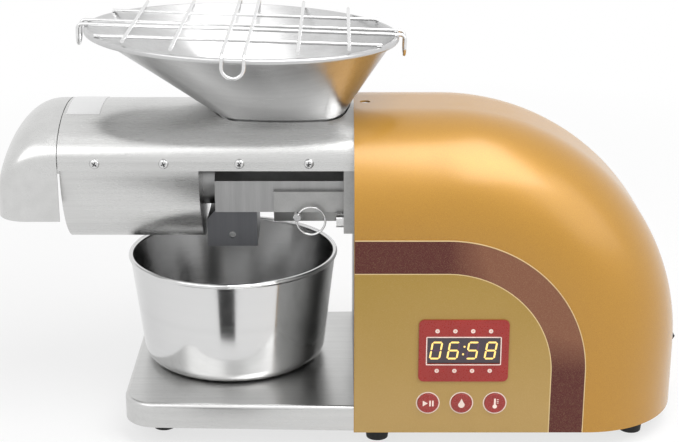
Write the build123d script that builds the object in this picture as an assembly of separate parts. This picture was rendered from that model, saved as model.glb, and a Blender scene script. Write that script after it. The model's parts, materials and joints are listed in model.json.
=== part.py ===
from build123d import *
from math import acos, atan2, cos, degrees, pi, radians, sin, sqrt, tan
import os

# Screw oil press, modelled in millimetres.
# +X runs from the discharge nose to the motor housing, +Z is up, and the side with the controls faces -Y.
# The origin is on the standing surface, under the middle of the press.

# Whole press
overall_length = 416.0
screw_axis_height = 150.0
running_gap = 0.05
loose_gap = 0.3
bolt_gap = 0.15

# Motor housing
housing_front = 4.0
housing_rear = 203.0
housing_half_width = 77.0
housing_top = 196.0
housing_corner = 60.0
housing_dome = 145.0
housing_wall = 2.0
foot_height = 12.0

# Bulkhead and base plate that close the housing
bulkhead_thickness = 3.0
bulkhead_lip_depth = 8.0
bulkhead_lip_wall = 2.0
base_thickness = 2.0
base_tab_size = 12.0
base_tab_thickness = 3.0
base_tab_places = (40.0, 128.0)

# Feet
foot_radius = 8.0
foot_taper = 1.4
front_foot_x = 18.5
front_foot_y = 57.0
rear_foot_x = 175.0
rear_foot_y = 47.0
stand_foot_x = -113.0
stand_foot_y = 43.5
foot_screw_radius = 2.0
foot_recess = 3.0

# Bowl stand
stand_left = -134.8
stand_left_half_width = 72.0
stand_right_half_width = 76.5
stand_corner = 20.0
stand_top = 28.5
stand_skirt = 15.5
stand_wall = 1.5
stand_fold_radius = 2.5

# Collecting bowl
bowl_x = -71.8
bowl_y = 10.0
bowl_rim_radius = 65.0
bowl_base_radius = 56.8
bowl_height = 69.5
bowl_wall = 1.2
bowl_corner = 9.0
bowl_bead = 1.5

# Hood over the pressing chamber
hood_left = -168.9
hood_half_width = 48.5
hood_foot = 166.5
hood_spring = 172.0
hood_top = 196.0
hood_wall = 1.0
rail_thickness = 2.9
rail_height = 6.5
rail_reach_into_cap = 8.0
hood_screw_places = (-147.3, -107.0, -62.8, -22.3)
hood_screw_height = 171.0
hood_screw_radius = 1.5
hood_screw_head = 3.0
hood_screw_head_height = 1.7

# Shroud under the hood
shroud_half_width = 44.2
shroud_spring = 165.0
shroud_bottom = 112.5
shroud_wall = 1.0
shroud_right = -87.3
shroud_top_gap = 0.2

# Nose cap
cap_gap = 0.5
cap_foot = 135.5
cap_half_width = 49.0
cap_wall = 1.0
cap_plan_radius = 18.0
cap_brow_length = 33.0
cap_brow_height = 46.0
cap_turns = (15, 30, 45, 58, 70, 80, 90)

# Front plate that carries the pressing chamber
plate_thickness = 6.0
plate_half_width = 45.0
plate_foot = 126.7
plate_crown = 184.0
plate_bolt_y = 35.0
plate_bolt_low = 131.5
plate_bolt_high = 173.0
plate_bolt_radius = 2.5
plate_bolt_head = 4.0
plate_bolt_head_height = 4.4

# Pressing chamber
chamber_left = -79.5
chamber_half_width = 26.0
chamber_foot = 134.0
chamber_shoulder = 153.5
chamber_crown = 166.5
chamber_bore = 11.6
barrel_radius = 18.0
barrel_left = -150.0
feed_length = 30.0
feed_width = 18.0
feed_x = -36.5
slot_count = 6
slot_width = 1.2
slot_length = 14.0
slot_pitch = 4.0

# Nozzle at the end of the barrel
nozzle_length = 12.0
nozzle_radius = 17.0
nozzle_mouth = 7.0
nozzle_thread_depth = 8.0
nozzle_thread_radius = 14.5

# Heater band and temperature probe
heater_left = -132.0
heater_width = 30.0
heater_wall = 3.0
heater_split = 4.0
probe_radius = 2.5
probe_length = 22.0
probe_depth = 6.0

# Oil chute
chute_left = -85.2
chute_right = -54.9
chute_half_width = 18.0
chute_foot = 109.5
chute_wall = 1.2
chute_chamfer = 6.0
chute_hole_radius = 2.1
chute_hole_rise = 7.2

# Saddle that holds the chamber, with its locking pin
saddle_left = -44.0
saddle_half_width = 30.0
saddle_top = 148.0
saddle_foot = 128.0
saddle_chamfer_height = 7.3
saddle_chamfer_depth = 5.0
pin_x = -29.8
pin_height = 133.5
pin_radius = 2.5
pin_reach = 6.0
ring_radius = 8.6
ring_wire = 0.65
ring_droop = 18.0
ring_hole = 1.2
ring_setback = 2.6

# Press screw
screw_tip = -157.0
screw_outer_radius = 11.3
screw_root_radius = 6.0
screw_end_root_radius = 9.0
screw_pitch = 15.0
screw_flight_start = -8.0
flight_thickness = 2.6
hex_across_flats = 10.0
hex_length = 14.0

# Gearbox
gearcase_half_width = 46.0
gearcase_top = 188.0
gearcase_foot = 22.0
gearcase_corner = 38.0
gearcase_wall = 4.0
gearcase_end_wall = 6.0
gearcase_depth = 38.0
pressure_angle = 25.0
tooth_share = 0.90
addendum_share = 0.80
dedendum_share = 1.10
pinion_teeth = 12
output_teeth = 42
second_teeth = 48
first_teeth = 60
output_module = 1.5
second_module = 1.25
first_module = 1.0
output_face = 11.0
second_face = 8.0
first_face = 6.0
layer_gap = 3.0
second_shaft_y = -7.0
first_shaft_y = 9.0
motor_y = -16.0
output_shaft_radius = 8.0
output_tail_radius = 6.0
layshaft_radius = 4.5
output_bearing_radius = 14.0
tail_bearing_radius = 12.0
lay_bearing_radius = 9.0
thrust_width = 4.5

# Motor
motor_radius = 33.0
motor_length = 84.0
motor_wall = 2.0
motor_cap_thickness = 5.0
magnet_thickness = 5.0
rotor_radius = 22.0
rotor_length = 46.0
commutator_radius = 11.0
commutator_length = 12.0
motor_shaft_radius = 3.0
motor_spigot_radius = 8.0
fan_radius = 28.0
fan_hub_radius = 8.0
fan_width = 8.0
fan_blades = 7
blade_thickness = 1.6

# Control panel on the near side
film_thickness = 0.5
film_inset = 0.3
panel_arc_radius = 83.0
bezel_x = 68.3
bezel_z = 65.5
bezel_width = 52.8
bezel_height = 39.0
bezel_thickness = 0.9
bezel_corner = 3.2
window_width = 42.7
window_height = 16.6
led_spacing = 10.4
led_rise = 12.6
led_radius = 1.1
led_count = 4
button_z = 31.8
button_places = (47.9, 67.8, 87.6)
button_radius = 6.2
button_hole_gap = 0.08
button_proud = 1.0
button_travel = 0.6
button_flange = 1.2
stem_radius = 2.0
board_width = 78.0
board_foot = 18.0
board_top = 84.0
board_thickness = 1.6
board_setback = 10.0
switch_size = 6.0
pillar_radius = 2.5

# Power switch and inlet
switch_z = 36.0
switch_height = 34.0
switch_width = 27.0
switch_frame = 2.0
switch_flange = 2.2
switch_depth = 16.0
rocker_throw = 16.0
rocker_width = 17.0
rocker_radius = 12.9
rocker_dish_radius = 26.0
rocker_dish_offset = 31.0
rocker_pin_radius = 1.5
rocker_pin_reach = 1.6
inlet_x = 112.0
inlet_z = 42.0
inlet_width = 31.0
inlet_height = 24.0
inlet_flange = 2.5
inlet_depth = 16.0
inlet_blade = (2.0, 4.0, 12.0)
inlet_blade_pitch = 7.0

# Cooling slots on the far side
vent_count = 9
vent_pitch = 7.0
vent_width = 3.0
vent_height = 34.0
vent_x = 55.0
vent_z = 62.0

# Power board
power_board_length = 52.0
power_board_width = 40.0
power_board_x = 142.0
power_board_y = 42.0
power_board_rise = 8.0

# Hopper
hopper_wall = 0.9
throat_x = -36.7
throat_length = 64.0
throat_width = 50.0
throat_height = 187.0
throat_corner = 10.0
spout_length = 40.0
spout_width = 26.0
spout_corner = 6.0
rim_x = -62.7
rim_half_length = 92.4
rim_half_width = 81.7
rim_height = 240.6
rim_tilt = 2.0
rim_bead_width = 2.6
rim_bead_height = 3.2
hood_hole_gap = 1.0

# Wire guard
wire_radius = 1.1
loop_half_width = 6.15
cross_wire_places = (-63.6, -35.0, 35.0, 63.6)
long_wire_places = (-38.0, 38.0)
hook_drop = 13.0
hook_bend = 3.0
wire_overhang = 2.2
wire_sink = 0.25

# Values worked out from the sizes above
nose_x = -overall_length / 2
rocker_face = overall_length / 2
plate_left = housing_front - plate_thickness
bulkhead_back = housing_front + bulkhead_thickness
gearcase_front = bulkhead_back
cavity_front = gearcase_front + gearcase_end_wall
cavity_back = cavity_front + gearcase_depth
gearcase_back = cavity_back + gearcase_end_wall
motor_back = gearcase_back + motor_length
output_left = cavity_front + layer_gap / 2
second_left = output_left + output_face + layer_gap
first_left = second_left + second_face + layer_gap
panel_face = -housing_half_width
panel_inner = panel_face + housing_wall
dome_x = housing_rear - housing_dome
dome_z = housing_top - housing_dome
bowl_foot = stand_top
chamber_right = plate_left
rim_plane = Plane(
    origin=(rim_x, 0, rim_height),
    x_dir=(cos(radians(rim_tilt)), 0, -sin(radians(rim_tilt))),
    z_dir=(sin(radians(rim_tilt)), 0, cos(radians(rim_tilt))),
)


def along_x(profile, start, end):
    """Extrude a (y, z) profile from x = start to x = end."""
    return extrude(Plane.YZ.offset(start) * profile, amount=end - start, dir=(1, 0, 0))


def along_y(profile, start, end):
    """Extrude an (x, z) profile from y = start to y = end."""
    return extrude(Plane.XZ.offset(-start) * profile, amount=end - start, dir=(0, 1, 0))


def along_z(profile, start, end):
    """Extrude an (x, y) profile from z = start to z = end."""
    return extrude(Plane.XY.offset(start) * profile, amount=end - start, dir=(0, 0, 1))


def rod_x(y, z, radius, start, end):
    """A round bar that lies along X."""
    return along_x(Pos(y, z) * Circle(radius), start, end)


def rod_y(x, z, radius, start, end):
    """A round bar that lies along Y."""
    return along_y(Pos(x, z) * Circle(radius), start, end)


def rod_z(x, y, radius, start, end):
    """A round bar that stands along Z."""
    return along_z(Pos(x, y) * Circle(radius), start, end)


def tube_x(y, z, outer, inner, start, end):
    """A round tube that lies along X."""
    return along_x(Pos(y, z) * (Circle(outer) - Circle(inner)), start, end)


def group(pieces):
    """Several separate solids that share one node."""
    return Compound(children=[solid for piece in pieces for solid in piece.solids()])


def both_sides(piece):
    """A piece and its mirror image across the mid-plane y = 0."""
    return [piece, mirror(piece, about=Plane.XZ)]


def arch(half_width, foot, spring, crown):
    """Arch section in (y, z): straight legs under half an ellipse."""
    outline = (
        Line((half_width, foot), (half_width, spring))
        + EllipticalCenterArc((0, spring), half_width, crown - spring, start_angle=0, arc_size=180)
        + Line((-half_width, spring), (-half_width, foot))
        + Line((-half_width, foot), (half_width, foot))
    )
    return make_face(outline)


def trough(half_width, top, spring, bottom):
    """Trough section in (y, z): straight walls over half an ellipse."""
    outline = (
        Line((half_width, top), (half_width, spring))
        + EllipticalCenterArc((0, spring), half_width, spring - bottom, start_angle=180, arc_size=180)
        + Line((-half_width, spring), (-half_width, top))
        + Line((-half_width, top), (half_width, top))
    )
    return make_face(outline)


def housing_body(inset, front, foot):
    """Domed body of the housing, drawn in by an even inset."""
    half_width = housing_half_width - inset
    top = housing_top - inset
    rear = housing_rear - inset
    profile = make_face(
        Line((front, foot), (front, top))
        + Line((front, top), (dome_x, top))
        + CenterArc((dome_x, dome_z), housing_dome - inset, 0, 90)
        + Line((rear, dome_z), (rear, foot))
        + Line((rear, foot), (front, foot))
    )
    body = along_y(profile, -half_width, half_width)
    rounded = body.edges().filter_by(
        lambda edge: abs(abs(edge.center().Y) - half_width) < 0.01
        and edge.center().X > front + 0.01
        and edge.center().Z > foot + 0.01
    )
    return fillet(rounded, housing_corner - inset)


def housing_section(inset, foot):
    """Section of the housing at its open front, in (y, z), drawn in by an inset."""
    half_width = housing_half_width - inset
    top = housing_top - inset
    section = Pos(0, (top + foot) / 2) * Rectangle(2 * half_width, top - foot)
    corners = section.vertices().group_by(Axis.Y)[-1]
    return fillet(corners, housing_corner - inset)


def housing_plan(inset, front):
    """Plan of the housing in (x, y) with its two round rear corners, drawn in by an inset."""
    rear = housing_rear - inset
    plan = Pos((front + rear) / 2, 0) * Rectangle(rear - front, 2 * (housing_half_width - inset))
    corners = plan.vertices().group_by(Axis.X)[-1]
    return fillet(corners, housing_corner - inset)


def at_base_tabs():
    """Places of the screws that hold the base plate to the housing."""
    y = housing_half_width - housing_wall - base_tab_size / 2
    return [(x, side * y) for x in base_tab_places for side in (-1, 1)]


def panel_outline(inset):
    """Outline of the printed film in (x, z): straight sides and one large arc."""
    radius = panel_arc_radius - inset
    left = housing_front + inset
    foot = foot_height + inset
    return make_face(
        Line((left, foot), (left, dome_z + radius))
        + Line((left, dome_z + radius), (dome_x, dome_z + radius))
        + CenterArc((dome_x, dome_z), radius, 0, 90)
        + Line((dome_x + radius, dome_z), (dome_x + radius, foot))
        + Line((dome_x + radius, foot), (left, foot))
    )


def window_outline():
    """Display window in (x, z)."""
    return Pos(bezel_x, bezel_z) * Rectangle(window_width, window_height)


def led_centres():
    """Places of the indicator lamps in (x, z): one row above the window and one below."""
    first = bezel_x - led_spacing * (led_count - 1) / 2
    return [
        (first + led_spacing * step, bezel_z + side * led_rise)
        for side in (1, -1) for step in range(led_count)
    ]


def panel_openings(start, end):
    """Cuts for the window, the lamps and the buttons, through y = start to y = end."""
    cuts = [along_y(window_outline(), start, end)]
    cuts += [rod_y(x, z, led_radius + bolt_gap, start, end) for x, z in led_centres()]
    cuts += [rod_y(x, button_z, button_radius + button_hole_gap, start, end) for x in button_places]
    return cuts


def vent_slots(start, end):
    """Row of upright cooling slots, cut through y = start to y = end."""
    slots = []
    for step in range(vent_count):
        x = vent_x + vent_pitch * (step - (vent_count - 1) / 2)
        slot = Pos(x, vent_z) * Rot(0, 0, 90) * SlotOverall(vent_height, vent_width)
        slots.append(along_y(slot, start, end))
    return slots


def housing():
    """Housing shell, bulkhead, base plate and the screws that join them."""
    shell = housing_body(0, housing_front, foot_height)
    shell -= housing_body(housing_wall, housing_front - 1, foot_height - 1)
    tab_top = foot_height + base_thickness + base_tab_thickness
    for x, y in at_base_tabs():
        tab = Pos(x, y) * Rectangle(base_tab_size, base_tab_size)
        hole = rod_z(x, y, foot_screw_radius + bolt_gap, foot_height, tab_top + 1)
        shell += along_z(tab, tab_top - base_tab_thickness, tab_top) - hole
    shell -= panel_openings(panel_face - 1, panel_inner + 1)
    far_face = housing_half_width
    shell -= vent_slots(far_face - housing_wall - 1, far_face + 1)
    inlet_cut = Pos(inlet_x, inlet_z) * Rectangle(
        inlet_width - inlet_flange * 2, inlet_height - inlet_flange * 2)
    shell -= along_y(inlet_cut, far_face - housing_wall - 1, far_face + 1)
    switch_cut = Rectangle(switch_width - switch_flange * 2, switch_height - switch_flange * 2)
    shell -= along_x(Pos(0, switch_z) * switch_cut, housing_rear - housing_wall - 1, housing_rear + 1)
    screw_x = bulkhead_back + bulkhead_lip_depth / 2
    shell -= rod_z(screw_x, 0, hood_screw_head + bolt_gap, housing_top - housing_wall - 1, housing_top + 1)

    inset = housing_wall + loose_gap
    foot = foot_height + base_thickness
    bulkhead = along_x(housing_section(inset, foot), housing_front, bulkhead_back + bulkhead_lip_depth)
    inner = housing_section(inset + bulkhead_lip_wall, foot + bulkhead_lip_wall)
    bulkhead -= along_x(inner, bulkhead_back, bulkhead_back + bulkhead_lip_depth + 1)
    bulkhead -= rod_x(0, screw_axis_height, output_bearing_radius, housing_front - 1, bulkhead_back + 1)
    for y, z in plate_bolts():
        bulkhead -= rod_x(y, z, plate_bolt_radius + bolt_gap, housing_front - 1, bulkhead_back + 1)
    lip_top = housing_top - inset
    bulkhead -= rod_z(screw_x, 0, hood_screw_radius + bolt_gap, lip_top - bulkhead_lip_wall - 1, lip_top + 1)

    top_screw = rod_z(screw_x, 0, hood_screw_radius, lip_top - bulkhead_lip_wall - 3, lip_top)
    top_screw += rod_z(screw_x, 0, hood_screw_head, lip_top, lip_top + hood_screw_head_height)

    base = along_z(housing_plan(inset, housing_front), foot_height, foot)
    for x, y in housing_feet_places():
        base -= rod_z(x, y, foot_screw_radius + bolt_gap, foot_height - 1, foot + 1)
    for x, y in at_base_tabs():
        base -= rod_z(x, y, foot_screw_radius + bolt_gap, foot_height - 1, foot + 1)
    for step in range(vent_count):
        x = vent_x + vent_pitch * (step - (vent_count - 1) / 2)
        slot = Pos(x, 0) * Rot(0, 0, 90) * SlotOverall(vent_height, vent_width)
        base -= along_z(slot, foot_height - 1, foot + 1)

    base_screws = []
    for x, y in at_base_tabs():
        shank = rod_z(x, y, foot_screw_radius, foot_height, tab_top)
        head = rod_z(x, y, foot_screw_radius * 1.8, foot_height - foot_screw_radius, foot_height)
        base_screws.append(shank + head)
    return {
        "housing_shell": shell,
        "housing_bulkhead": bulkhead,
        "housing_base_plate": base,
        "housing_screws": group([top_screw] + base_screws),
    }


def housing_feet_places():
    """Places of the four feet under the housing."""
    front = [(front_foot_x, side * front_foot_y) for side in (-1, 1)]
    rear = [(rear_foot_x, side * rear_foot_y) for side in (-1, 1)]
    return front + rear


def stand_feet_places():
    """Places of the two feet under the bowl stand."""
    return [(stand_foot_x, side * stand_foot_y) for side in (-1, 1)]


def foot(x, y, top):
    """Tapered rubber foot from the standing surface up to its seat, hollow for its screw."""
    body = Pos(x, y, 0) * extrude(Circle(foot_radius - foot_taper), amount=foot_height, taper=-degrees(
        atan2(foot_taper, foot_height)))
    if top > foot_height:
        body += rod_z(x, y, foot_radius, foot_height, top)
    body -= rod_z(x, y, foot_screw_radius + bolt_gap, -1, top + 1)
    return body - rod_z(x, y, foot_screw_radius * 2 + bolt_gap, -1, foot_recess)


def foot_screw(x, y, top):
    """Screw that holds a foot, with its head in the foot's recess."""
    head = rod_z(x, y, foot_screw_radius * 2, foot_recess - foot_screw_radius, foot_recess)
    return head + rod_z(x, y, foot_screw_radius, foot_recess, top)


def feet():
    """Rubber feet and their screws."""
    base_seat = foot_height
    stand_seat = stand_top - stand_wall
    return {
        "housing_feet": group([foot(x, y, base_seat) for x, y in housing_feet_places()]),
        "stand_feet": group([foot(x, y, stand_seat) for x, y in stand_feet_places()]),
        "foot_screws": group(
            [foot_screw(x, y, base_seat + base_thickness + 1) for x, y in housing_feet_places()]
            + [foot_screw(x, y, stand_seat) for x, y in stand_feet_places()]
        ),
    }


def stand_plan():
    """Plan of the bowl stand in (x, y): it widens a little towards the housing."""
    plan = Polygon(
        (stand_left, -stand_left_half_width),
        (housing_front, -stand_right_half_width),
        (housing_front, stand_right_half_width),
        (stand_left, stand_left_half_width),
        align=None,
    )
    return fillet(plan.vertices().group_by(Axis.X)[0], stand_corner)


def bowl_stand():
    """Folded sheet tray that carries the bowl, with its skirt turned down."""
    skirt_foot = stand_top - stand_skirt
    tray = along_z(stand_plan(), skirt_foot, stand_top)
    folds = tray.faces().sort_by(Axis.Z)[-1].edges().filter_by(
        lambda edge: edge.center().X < housing_front - 0.01)
    tray = fillet(folds, stand_fold_radius)
    inner = offset(stand_plan(), amount=-stand_wall, kind=Kind.INTERSECTION)
    tray -= along_z(inner, skirt_foot - 1, stand_top - stand_wall)
    return {"bowl_stand": tray}


def bowl():
    """Drawn steel bowl with a slight taper, a round base corner and a rolled rim."""
    top = bowl_foot + bowl_height
    outer = FilletPolyline(
        (0, bowl_foot), (bowl_base_radius, bowl_foot), (bowl_rim_radius, top), radius=bowl_corner
    )
    inner_base = bowl_base_radius - bowl_wall
    inner_rim = bowl_rim_radius - bowl_wall
    inner = FilletPolyline(
        (inner_rim, top), (inner_base, bowl_foot + bowl_wall), (0, bowl_foot + bowl_wall),
        radius=bowl_corner - bowl_wall
    )
    outline = outer + Line((bowl_rim_radius, top), (inner_rim, top)) + inner
    outline += Line((0, bowl_foot + bowl_wall), (0, bowl_foot))
    body = revolve(Plane.XZ * make_face(outline), axis=Axis.Z)
    bead = Plane.XZ * Pos(bowl_rim_radius - bowl_wall / 2, top - bowl_bead) * Circle(bowl_bead)
    body += revolve(bead, axis=Axis.Z)
    return {"bowl": Pos(bowl_x, bowl_y, 0) * body}


def hood():
    """Arched hood, the rails inside it and its screws."""
    right = housing_front
    outer = arch(hood_half_width, hood_foot, hood_spring, hood_top)
    inner = arch(hood_half_width - hood_wall, hood_foot, hood_spring, hood_top - hood_wall)
    cover = along_x(outer - inner, hood_left, right)
    cover -= funnel(-hood_hole_gap, chamber_crown)
    rail_outer = hood_half_width - hood_wall - loose_gap
    rail_middle = rail_outer - rail_thickness / 2
    rail_foot = hood_foot + 1
    rail = Pos(rail_middle, rail_foot + rail_height / 2) * Rectangle(rail_thickness, rail_height)
    rail = along_x(rail, hood_left - rail_reach_into_cap, right)
    screws = []
    for x in hood_screw_places:
        hole = rod_y(x, hood_screw_height, hood_screw_radius + bolt_gap, 0, hood_half_width + 1)
        cover -= both_sides(hole)
        rail -= hole
        shank = rod_y(x, hood_screw_height, hood_screw_radius, rail_middle - rail_thickness, hood_half_width)
        head = rod_y(
            x, hood_screw_height, hood_screw_head, hood_half_width, hood_half_width + hood_screw_head_height)
        head = fillet(head.faces().sort_by(Axis.Y)[-1].edges(), hood_screw_head_height * 0.6)
        screws += both_sides(shank + head)
    return {
        "hood": cover,
        "hood_rails": group(both_sides(rail)),
        "hood_screws": group(screws),
    }


def shroud():
    """Trough under the hood that catches splashes, with its end wall."""
    top = hood_foot + 1 + rail_height
    left = hood_left
    outer = trough(shroud_half_width - shroud_top_gap, top, shroud_spring, shroud_bottom)
    inner_half = shroud_half_width - shroud_top_gap - shroud_wall
    inner = trough(inner_half, top, shroud_spring, shroud_bottom + shroud_wall)
    shell = along_x(outer - inner, left, shroud_right)
    wall = along_x(trough(inner_half, top, shroud_spring, shroud_bottom + shroud_wall),
                   shroud_right - shroud_wall, shroud_right)
    shell += wall - rod_x(0, screw_axis_height, barrel_radius + loose_gap, shroud_right - 2, shroud_right + 1)
    for x in hood_screw_places:
        if x < shroud_right:
            hole = rod_y(x, hood_screw_height, hood_screw_radius + bolt_gap, 0, hood_half_width)
            shell -= both_sides(hole)
    return {"shroud": shell}


def cap_section(x, inset):
    """Section of the nose cap at a station x: it gets lower and narrower towards the tip."""
    brow_start = nose_x + cap_brow_length
    brow_foot = hood_top - cap_brow_height
    reach = max(0.0, brow_start - x) / (cap_brow_length - inset)
    crown = brow_foot + (cap_brow_height - inset) * sqrt(max(0.0, 1 - reach ** 2))
    radius = cap_plan_radius - inset
    turned_in = min(radius, max(0.0, nose_x + cap_plan_radius - x))
    half_width = cap_half_width - cap_plan_radius + sqrt(radius ** 2 - turned_in ** 2)
    foot = cap_foot - inset
    shoulder = (hood_top - hood_spring) * (crown - foot) / (hood_top - foot)
    spring = min(hood_spring, crown - shoulder)
    return Plane.YZ.offset(x) * arch(half_width, foot, spring, crown)


def cap_body(inset):
    """Solid nose of the cap, drawn in by an inset."""
    seam = hood_left - cap_gap
    brow_start = nose_x + cap_brow_length
    brow_reach = cap_brow_length - inset
    stations = [seam, (seam + brow_start) / 2, brow_start]
    stations += [brow_start - brow_reach * sin(radians(turn)) for turn in cap_turns]
    return loft([cap_section(x, inset) for x in stations])


def nose_cap():
    """Rounded cap over the discharge end, open below and towards the hood."""
    return {"nose_cap": cap_body(0) - cap_body(cap_wall)}


def plate_bolts():
    """Places of the bolts that hold the front plate, in (y, z)."""
    return [(side * plate_bolt_y, z) for side in (-1, 1) for z in (plate_bolt_low, plate_bolt_high)]


def front_plate():
    """Steel plate that carries the chamber, and its bolts."""
    plate = along_x(arch(plate_half_width, plate_foot, hood_spring, plate_crown), plate_left, housing_front)
    rail_outer = hood_half_width - hood_wall - loose_gap
    rail_slot = Pos(rail_outer - rail_thickness / 2, hood_foot + 1 + rail_height / 2) * Rectangle(
        rail_thickness, rail_height)
    plate -= both_sides(along_x(rail_slot, plate_left - 1, housing_front + 1))
    plate -= rod_x(0, screw_axis_height, output_shaft_radius + loose_gap, plate_left - 1, housing_front + 1)
    bolts = []
    for y, z in plate_bolts():
        plate -= rod_x(y, z, plate_bolt_radius + bolt_gap, plate_left - 1, housing_front + 1)
        shank = rod_x(y, z, plate_bolt_radius, plate_left, bulkhead_back)
        head = rod_x(y, z, plate_bolt_head, plate_left - plate_bolt_head_height, plate_left)
        socket = along_x(Pos(y, z) * RegularPolygon(plate_bolt_head * 0.55, 6),
                         plate_left - plate_bolt_head_height, plate_left - plate_bolt_head_height / 2)
        bolts.append(head + shank - socket)
    return {"front_plate": plate, "front_plate_bolts": group(bolts)}


def chamber_profile():
    """Section of the chamber block in (y, z): flat foot and sides, sloping shoulders."""
    slope = chamber_crown - chamber_shoulder
    return Polygon(
        (-chamber_half_width, chamber_foot),
        (chamber_half_width, chamber_foot),
        (chamber_half_width, chamber_shoulder),
        (chamber_half_width - slope, chamber_crown),
        (slope - chamber_half_width, chamber_crown),
        (-chamber_half_width, chamber_shoulder),
        align=None,
    )


def pressing_chamber():
    """Chamber block with its round barrel, feed opening, oil slots and pin groove."""
    body = along_x(chamber_profile(), chamber_left, chamber_right)
    body += rod_x(0, screw_axis_height, barrel_radius, barrel_left, chamber_left)
    body += rod_x(0, screw_axis_height, nozzle_thread_radius, barrel_left - nozzle_thread_depth, barrel_left)
    body -= rod_x(
        0, screw_axis_height, chamber_bore, barrel_left - nozzle_thread_depth - 1, chamber_right + 1)
    body -= along_z(Pos(feed_x, 0) * Rectangle(feed_length, feed_width), screw_axis_height, chamber_crown + 1)
    slot_middle = (chamber_left + chute_right) / 2
    for step in range(slot_count):
        x = slot_middle + slot_pitch * (step - (slot_count - 1) / 2)
        slot = Pos(x, 0) * Rectangle(slot_width, slot_length)
        body -= along_z(slot, chamber_foot - 1, screw_axis_height)
    body -= rod_y(
        pin_x, pin_height, pin_radius + running_gap, -chamber_half_width - 1, chamber_half_width + 1)
    probe_x = heater_left + heater_width + probe_radius * 2
    body -= rod_z(probe_x, 0, probe_radius + bolt_gap, screw_axis_height + barrel_radius - probe_depth,
                  screw_axis_height + barrel_radius + 1)
    return {"pressing_chamber": body}


def nozzle():
    """Nut that closes the barrel and lets the pressed cake out."""
    left = barrel_left - nozzle_thread_depth - nozzle_length
    body = rod_x(0, screw_axis_height, nozzle_radius, left, barrel_left)
    body -= rod_x(0, screw_axis_height, nozzle_thread_radius + bolt_gap,
                  barrel_left - nozzle_thread_depth, barrel_left + 1)
    body -= rod_x(0, screw_axis_height, nozzle_mouth, left - 1, barrel_left)
    body -= rod_x(0, screw_axis_height, chamber_bore, barrel_left - nozzle_thread_depth - 6,
                  barrel_left - nozzle_thread_depth + 1)
    return {"cake_nozzle": body}


def heater():
    """Split heater band, its clamp ears and screw, and the temperature probe."""
    right = heater_left + heater_width
    outer = barrel_radius + heater_wall
    band = tube_x(0, screw_axis_height, outer, barrel_radius, heater_left, right)
    gap = Pos(0, screw_axis_height - outer) * Rectangle(heater_split, heater_wall * 4)
    ear_height = heater_wall * 2.5
    ear_thickness = heater_wall
    ear_place = Pos(heater_split / 2 + ear_thickness / 2, screw_axis_height - outer - ear_height / 2 + 1.5)
    ear = ear_place * Rectangle(
        ear_thickness, ear_height + 1)
    band -= along_x(gap, heater_left - 1, right + 1)
    band += both_sides(along_x(ear, heater_left + heater_width / 4, right - heater_width / 4))
    middle = (heater_left + right) / 2
    screw_z = screw_axis_height - outer - ear_height / 2
    half = heater_split / 2 + ear_thickness
    band -= rod_y(middle, screw_z, 1.5 + bolt_gap, -half - 1, half + 1)
    screw = rod_y(middle, screw_z, 1.5, -half - 2, half + 3) + rod_y(middle, screw_z, 2.8, -half - 2, -half)
    probe_x = right + probe_radius * 2
    foot = screw_axis_height + barrel_radius - probe_depth
    probe = rod_z(probe_x, 0, probe_radius, foot, foot + probe_length - 4)
    probe += rod_z(probe_x, 0, probe_radius * 0.6, foot + probe_length - 4, foot + probe_length)
    return {"heater_band": band, "heater_clamp_screw": screw, "temperature_probe": probe}


def oil_chute():
    """Open-bottomed box that leads the oil from the slots down to the bowl."""
    outline = Polygon(
        (chute_left, chute_foot),
        (chute_right, chute_foot),
        (chute_right, chamber_foot),
        (chute_left + chute_chamfer, chamber_foot),
        (chute_left, chamber_foot - chute_chamfer * 1.2),
        align=None,
    )
    body = along_y(outline, -chute_half_width, chute_half_width)
    hollow = Pos((chute_left + chute_right) / 2, 0) * Rectangle(
        chute_right - chute_left - 2 * chute_wall, 2 * (chute_half_width - chute_wall))
    slope_room = chute_chamfer * 1.2 + chute_wall
    body -= along_z(hollow, chute_foot - 1, chamber_foot - slope_room)
    upper = Pos((chute_left + chute_chamfer + chute_right) / 2 + chute_wall / 2, 0) * Rectangle(
        chute_right - chute_left - chute_chamfer - 3 * chute_wall, 2 * (chute_half_width - chute_wall))
    body -= along_z(upper, chamber_foot - slope_room - 1, chamber_foot + 1)
    body -= rod_x(0, screw_axis_height, barrel_radius + bolt_gap, chute_left - 1, chamber_left)
    hole_x = (chute_left + chute_right) / 2
    body -= rod_y(hole_x, chute_foot + chute_hole_rise, chute_hole_radius, -chute_half_width - 1, 0)
    return {"oil_chute": body}


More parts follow.
